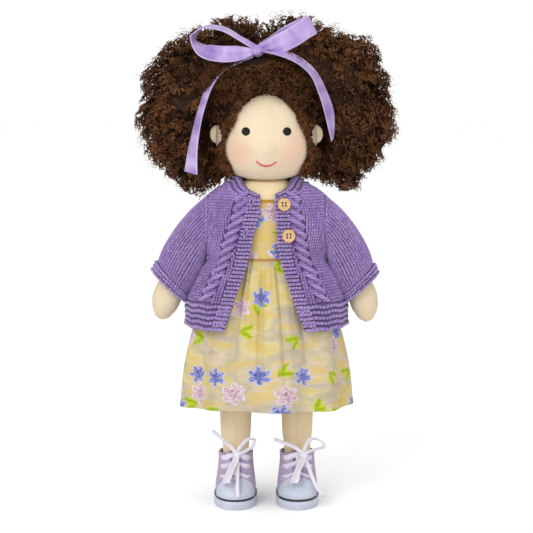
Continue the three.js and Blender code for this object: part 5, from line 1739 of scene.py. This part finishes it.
def from_ear(line):
    """How far hair is from the middle of an ear, seen from the front, with 1 at the ear's edge."""
    x, height = np.abs(line[..., 0]), line[..., 2] - CHIN
    return np.hypot((x - EAR_MIDDLE[0]) / EAR_CLEAR[0], (height - EAR_MIDDLE[1]) / EAR_CLEAR[1])


def by_the_ear(line):
    return (from_ear(line) < 1) & (line[..., 1] < 5)


def in_the_way(line):
    """Points of hair that would lie in the face, the ears, the cardigan or the sleeves."""
    x, y, z = np.moveaxis(line, -1, 0)
    opening = row_at(FACE_OPENING, z - CHIN)[..., 0]
    face = (y < -4) & (np.abs(x) < opening - 0.5) & (z - CHIN < 64)
    half = row_at(KNIT_ROWS, z - HIP) + 1.6
    inside = np.abs(x / half[..., 0]) ** KNIT_POWER + np.abs(y / half[..., 1]) ** KNIT_POWER < 1
    sleeve = (np.hypot(y, z - SHOULDER) < 19.5) & (np.abs(x) > 40)
    return face | by_the_ear(line) | (inside & (z < HIP + 113)) | sleeve | (z < 232)


def without(points, faces, hidden):
    """The groups of faces, less those whose middles are hidden."""
    return [group[~hidden(points[group].mean(1))] for group in faces]


def pressed(line, close, back, give):
    """Hair with its close points moved behind a depth, those from further forward a little deeper."""
    line[..., 1] = np.where(close, back + give * (back - line[..., 1]), line[..., 1])
    return line


def behind_ear(line):
    """Presses hair back round an ear, so that the ear shows in front of it."""
    away = from_ear(line)
    back = 5.6 - 9 * (np.maximum(away, 1.02) - 1.02)
    return pressed(line, (away < 2.3) & (np.abs(line[..., 0]) > 36.5) & (line[..., 1] < back), back, 0.1)


def behind_ribbon(line):
    """Presses hair back where the ribbon lies over it."""
    for name, reach, depth, start in (
        ("tail_right", 6.5, 2.0, TAIL_COVERED), ("tail_left", 6.5, 2.0, 0),
        ("loop_right", 9.5, 4.0, 0), ("loop_left", 9.5, 4.0, 0),
    ):
        centres = ribbon_line(name, 40)[0][start:]
        flat = np.hypot(line[..., 0, None] - centres[:, 0], line[..., 2, None] - centres[:, 2])
        back = centres[flat.argmin(-1), 1] + depth
        line = pressed(line, (flat.min(-1) < reach) & (line[..., 1] < back), back, 0.15)
    return line


def make_strands(name, line, thick, tone, material=HAIR):
    """One piece of hair, with tones for its points along the strands."""
    tones = np.repeat(np.broadcast_to(tone, line.shape[:2]).ravel(), 3)
    Shape().add(*strands(line, thick, 3), tone=tones).make(name, material, "torso", slot="hair")


def make_cap():
    """The wig's ground, dark as painted shade between the curls, and short curls all over it, fuller on the
    crown and redder along the hairline.
    """
    def in_face(place):
        opening = row_at(FACE_OPENING, place[:, 2] - CHIN)[:, 0] + 2.6
        face = (place[:, 1] < -3) & (np.abs(place[:, 0]) < opening) & (place[:, 2] < CHIN + 67)
        return face | by_the_ear(place)

    ground = cap_at(np.linspace(NAPE + 1, HEAD_TOP - 1, 50)[:, None], angles(96)[None, :], -1.6)
    ground = ground + unit(ground - (0, 0, CHIN + 40)) * ripple(ground, 9, 3)[..., None] * 0.8
    points, faces = closed(ground)
    # Painted shade: the ground is dark so that the gaps between curls read as shadow.
    cap = Shape().add(points, without(points, faces, in_face), tone=0.05)
    cap.make("hair_cap_ground", HAIR, "torso", ["hair_cap"], "hair")

    random = np.random.default_rng(11)
    count = 3400
    rise = NAPE - 6 + (HEAD_TOP - NAPE + 6) * random.uniform(0, 1, count) ** 0.75
    roots = cap_at(rise, random.uniform(0, 2 * np.pi, count), -2.4)
    y, rise = roots[:, 1], roots[:, 2] - CHIN
    gap = np.abs(roots[:, 0]) - row_at(FACE_OPENING, rise)[:, 0]
    free = ((y > -4) | (gap > 0.5) | (rise > 66)) & ~((y > -10) & (rise < NAPE - 2))
    edge = (y < -4) & (gap < 9) & (rise < 78)
    count = 1100
    rise = np.abs(random.uniform(-8, 66.5, count))
    x = random.choice([-1, 1], count) * (row_at(FACE_OPENING, rise)[:, 0] + random.uniform(-0.2, 5.5, count))
    brow = face_at(np.clip(x, -37, 37), rise, 1.0)
    count = 900
    tail = ribbon_line("tail_right", 40)[0]
    over = tail[random.integers(2, 14, count)]
    over = over + random.normal(0, 1, (count, 3)) * (3, 1.6, 3.2) + (0, 4, -1.5)
    over = over[(over[:, 2] < CHIN + 95) & (over[:, 0] < -13)]
    crown = cap_at(random.uniform(58, HEAD_TOP, count), random.uniform(np.pi, 2 * np.pi, count), -2.0)

    steps = 18
    for name, chosen, reach, lead, material in (
        ("hair_cap_curls", roots[free & ~edge], 1.0, 0, HAIR),
        ("hairline_curls", roots[free & edge], 0.85, 0, FRINGE), ("hairline_wisps", brow, 0.6, 0, FRINGE),
        ("crown_curls", crown, 1.0, 0, HAIR), ("crown_locks", over, 1.15, 1.2, HAIR),
    ):
        full = 1 + 0.4 * smooth(56, 80, chosen[:, 2] - CHIN)
        outward = unit(chosen - (0, 2, CHIN + 38))
        ways = outward * 0.6 + random.normal(0, 0.5, chosen.shape) + np.array([0, -lead, -0.15 - lead / 2])
        size = len(chosen)
        line, thick = curls(
            chosen, ways, random.uniform(5, 9.5, size) * reach * full,
            random.uniform(1.1, 2.1, size) * reach * full, random.uniform(1.2, 2.4, size),
            random.uniform(0.24, 0.4, size), steps, random,
        )
        good = ~in_the_way(line).any(-1)
        if name == "crown_locks":
            good &= line[..., 2].max(-1) < CHIN + 92
        else:
            line = behind_ribbon(line)
        tone = random.uniform(0.15, 0.75, good.sum())[:, None] + np.linspace(-0.2, 0.25, steps)
        make_strands(name, line[good], thick[good], tone, material)


def puff_frame(side):
    """The middle of a puff, and the cosine and sine of its lean."""
    lean = math.radians(-SIDES[side] * PUFF_LEAN)
    x, y, z = PUFF_CENTRE
    return np.array([SIDES[side] * x, y, CHIN + z]), math.cos(lean), math.sin(lean)


def puff_form(side, x, z):
    """How far the locks reach in a direction seen from the front, next to the puff's plain form."""
    turn = np.degrees(np.arctan2(z, SIDES[side] * x))
    reach = np.interp(turn, *np.array(PUFF_REACH[side]).T)
    return 1 + (reach - 1) * smooth(0, 12, np.hypot(x, z))


def puff_at(side, direction, scale):
    """A place in a puff of hair, from its middle in a direction; scale 1 is its surface."""
    centre, cos, sin = puff_frame(side)
    x, y, z = np.moveaxis(direction * PUFF_HALF * scale[..., None], -1, 0)
    x, z = x * cos + z * sin, z * cos - x * sin
    form = puff_form(side, x, z)
    return centre + xyz(x * form, y, z * form)


def drawn_in(side, line):
    """Keeps hair within its puff, give or take the unevenness of its locks."""
    centre, cos, sin = puff_frame(side)
    x, y, z = np.moveaxis(line - centre, -1, 0)
    local = xyz(x * cos - z * sin, y, x * sin + z * cos)
    size = np.linalg.norm(local / PUFF_HALF, axis=-1)
    limit = (0.96 + 0.04 * ripple(line, 20, 8)) * puff_form(side, x, z)
    wanted = np.where(size > limit, limit + 0.25 * (size - limit), size)
    return (line - centre) * (wanted / np.maximum(size, 1e-6))[..., None] + centre


def on_side(side, line, least):
    """Keeps hair on its own side of the head."""
    line[..., 0] = SIDES[side] * np.maximum(SIDES[side] * line[..., 0], least)
    return line


def spread(count, random):
    """Even directions all round, a little disturbed."""
    k = np.arange(count) + 0.5
    tilt = np.arccos(1 - 2 * k / count)
    swing = k * GOLDEN_TURN + random.normal(0, 0.05, count)
    return xyz(np.sin(tilt) * np.cos(swing), np.sin(tilt) * np.sin(swing), np.cos(tilt))


def make_puff(side):
    s = SIDES[side]
    random = np.random.default_rng(21 if s > 0 else 22)

    # Dark ground that shows between the locks: painted shade, a dark sheet where the depth of the hair would
    # be in shadow
    up, turn = globe(60, 90, 0.02)
    ways = xyz(np.sin(up) * np.cos(turn), np.sin(up) * np.sin(turn), np.cos(up))
    ground = on_side(side, puff_at(side, ways, 0.83 + 0.05 * ripple(ways * 40, 14, 5)), 0.6)
    points, faces = closed(behind_ear(behind_ribbon(ground)))
    puff = Shape().add(points, without(points, faces, in_the_way), tone=0.2)
    puff.make(f"hair_{side}_ground", HAIR, "torso", [f"hair_{side}"], "hair")

    # Ringlets of four strands each, gathered into locks that lead away from the head
    count, locks, steps, droop = 1400, 120, 27, 0.28
    ways = spread(count, random)
    lock_ways = spread(locks, random)
    nearest = ((ways[:, None] - lock_ways) ** 2).sum(-1).argmin(1)
    tips = puff_at(side, lock_ways, random.uniform(0.9, 1.08, locks))[nearest]
    roots = puff_at(side, ways, random.uniform(0.64, 0.84, count))
    away = unit((roots - (s * 8, 12, CHIN + 50)) * (1, 0.35, 1))
    leads = unit(tips - roots) * 0.5 + away * 0.75 + random.normal(0, 0.27, roots.shape) + (0, -0.05, -0.1)
    lengths = random.uniform(17, 30, count)
    radius = random.uniform(0.9, 2.2, count)
    turns = lengths / random.uniform(4.5, 7.5, count)
    tones = random.normal(0.4, 0.18, count) + 0.1 * ripple(roots, 22, 4)
    line, thick = curls(roots, leads, lengths, radius, turns, np.full(count, 0.3), steps, random, droop)
    t = np.linspace(0, 1, steps)[:, None]
    run = unit(leads)[:, None] * t - np.array([0, 0, droop]) * t**2
    middle = roots[:, None] + lengths[:, None, None] * run
    along = unit(np.gradient(middle, axis=1))
    for strand in range(4):
        spin = 0.42 * strand + random.normal(0, 0.15, count)[:, None, None]
        off = (line - middle) * (1 + 0.14 * (strand % 2))
        placed = middle + off * np.cos(spin) + np.cross(along, off) * np.sin(spin)
        placed = on_side(side, behind_ear(behind_ribbon(drawn_in(side, placed))), -4)
        good = ~in_the_way(placed).any(-1)
        tone = tones[good, None] + np.linspace(-0.45, 0.38, steps) + 0.05 * strand
        make_strands(f"hair_{side}_ringlets_{strand + 1}", placed[good], thick[good], tone)

    # Fine loose hairs over the outline
    count = 900
    ways = unit(random.normal(size=(count, 3)))
    roots = puff_at(side, ways, random.uniform(0.85, 0.97, count))
    line, thick = curls(
        roots, ways + random.normal(0, 0.6, ways.shape), random.uniform(7, 14, count),
        random.uniform(0.9, 2.2, count), random.uniform(1.2, 3.0, count), random.uniform(*LOOSE_THICK, count),
        24, random, 0.2,
    )
    line = on_side(side, behind_ear(behind_ribbon(drawn_in(side, line) * 0.3 + line * 0.7)), -5)
    good = ~in_the_way(line).any(-1)
    make_strands(f"hair_{side}_loose", line[good], thick[good], 0.85)


# Stage. Lamps are (place, power, size).
WHITE = (1, 1, 1, 1)
FLOOR_HALF = 6000
FLOOR_WHITE = (0.92, 0.92, 0.92, 1)
FLOOR_GLOW = 0.37
SURROUND_LIGHT = 0.64
LAMPS = {
    "key": ((-900, -1500, 1500), 16, 0.9), "fill": ((1300, -1300, 700), 4, 1.0),
    "low": ((-200, -1700, 260), 5, 1.2),
}


def seen_rays(tree):
    """1 for the rays that show a thing itself: straight to it, off a shine or through something clear."""
    rays = tree.nodes.new("ShaderNodeLightPath")
    seen = rays.outputs["Is Camera Ray"]
    for name in ("Is Glossy Ray", "Is Transmission Ray"):
        most = tree.nodes.new("ShaderNodeMath")
        most.operation = "MAXIMUM"
        tree.links.new(seen, most.inputs[0])
        tree.links.new(rays.outputs[name], most.inputs[1])
        seen = most.outputs[0]
    return seen


def make_floor():
    """A white floor that keeps the doll's shadow, its glow dimmed near the doll by ambient occlusion, a
    painted shadow.
    """
    floor = Shader("floor", 0.9)
    floor.surface.inputs["Base Color"].default_value = FLOOR_WHITE
    mesh = bpy.data.meshes.new("floor")
    corners = [(-1, -1), (1, -1), (1, 1), (-1, 1)]
    mesh.from_pydata([metres(x * FLOOR_HALF, y * FLOOR_HALF, 0) for x, y in corners], [], [(0, 1, 2, 3)])
    mesh.materials.append(floor.material)
    made = bpy.data.objects.new("floor", mesh)
    bpy.context.scene.collection.objects.link(made)
    # Painted shadow: ambient occlusion dims the floor's glow near the doll.
    occlusion_for_painted_shade = floor.node("AmbientOcclusion", "AO", Distance=0.14)
    shine = floor.times(seen_rays(floor.tree), floor.times(occlusion_for_painted_shade, FLOOR_GLOW))
    both = floor.tree.nodes.new("ShaderNodeAddShader")
    floor.tree.links.new(floor.surface.outputs[0], both.inputs[0])
    floor.tree.links.new(floor.node("Emission", Color=WHITE, Strength=shine), both.inputs[1])
    floor.tree.links.new(both.outputs[0], floor.tree.nodes["Material Output"].inputs["Surface"])


def make_surround():
    """A white surround that gives a softer light than it shows, and three lamps."""
    world = bpy.data.worlds.new("surround")
    bpy.context.scene.world = world
    world.use_nodes = True
    tree = world.node_tree
    light, white = tree.nodes["Background"], tree.nodes.new("ShaderNodeBackground")
    for node, strength in ((light, SURROUND_LIGHT), (white, 1.0)):
        node.inputs["Color"].default_value = WHITE
        node.inputs["Strength"].default_value = strength
    blend = tree.nodes.new("ShaderNodeMixShader")
    for socket, value in enumerate((seen_rays(tree), light.outputs[0], white.outputs[0])):
        tree.links.new(value, blend.inputs[socket])
    tree.links.new(blend.outputs[0], tree.nodes["World Output"].inputs["Surface"])
    for name, (place, power, size) in LAMPS.items():
        lamp = bpy.data.lights.new(name, "AREA")
        lamp.energy = power
        lamp.size = size
        aim(bpy.data.objects.new(name, lamp), place, (0, 0, 200))


make_floor()
make_surround()
for side in SIDES:
    make_bars(side)
    make_bow(side)
    make_lace_knot(side)
make_head()
make_neck()
make_torso()
make_bodice()
make_skirt()
make_back()
for name, (x, rise) in BUTTONS.items():
    make_button(name, x, rise)
for side in SIDES:
    make_front(side)
    make_sleeve(side)
    make_arm(side)
    make_leg(side)
    make_sole(side)
    make_toe_cap(side)
    make_upper(side)
    make_tongue(side)
    make_eyelets(side)
for name in RIBBON:
    make_ribbon(name)
make_ribbon_knot()
make_ribbon_band()
make_cap()
for side in SIDES:
    make_puff(side)
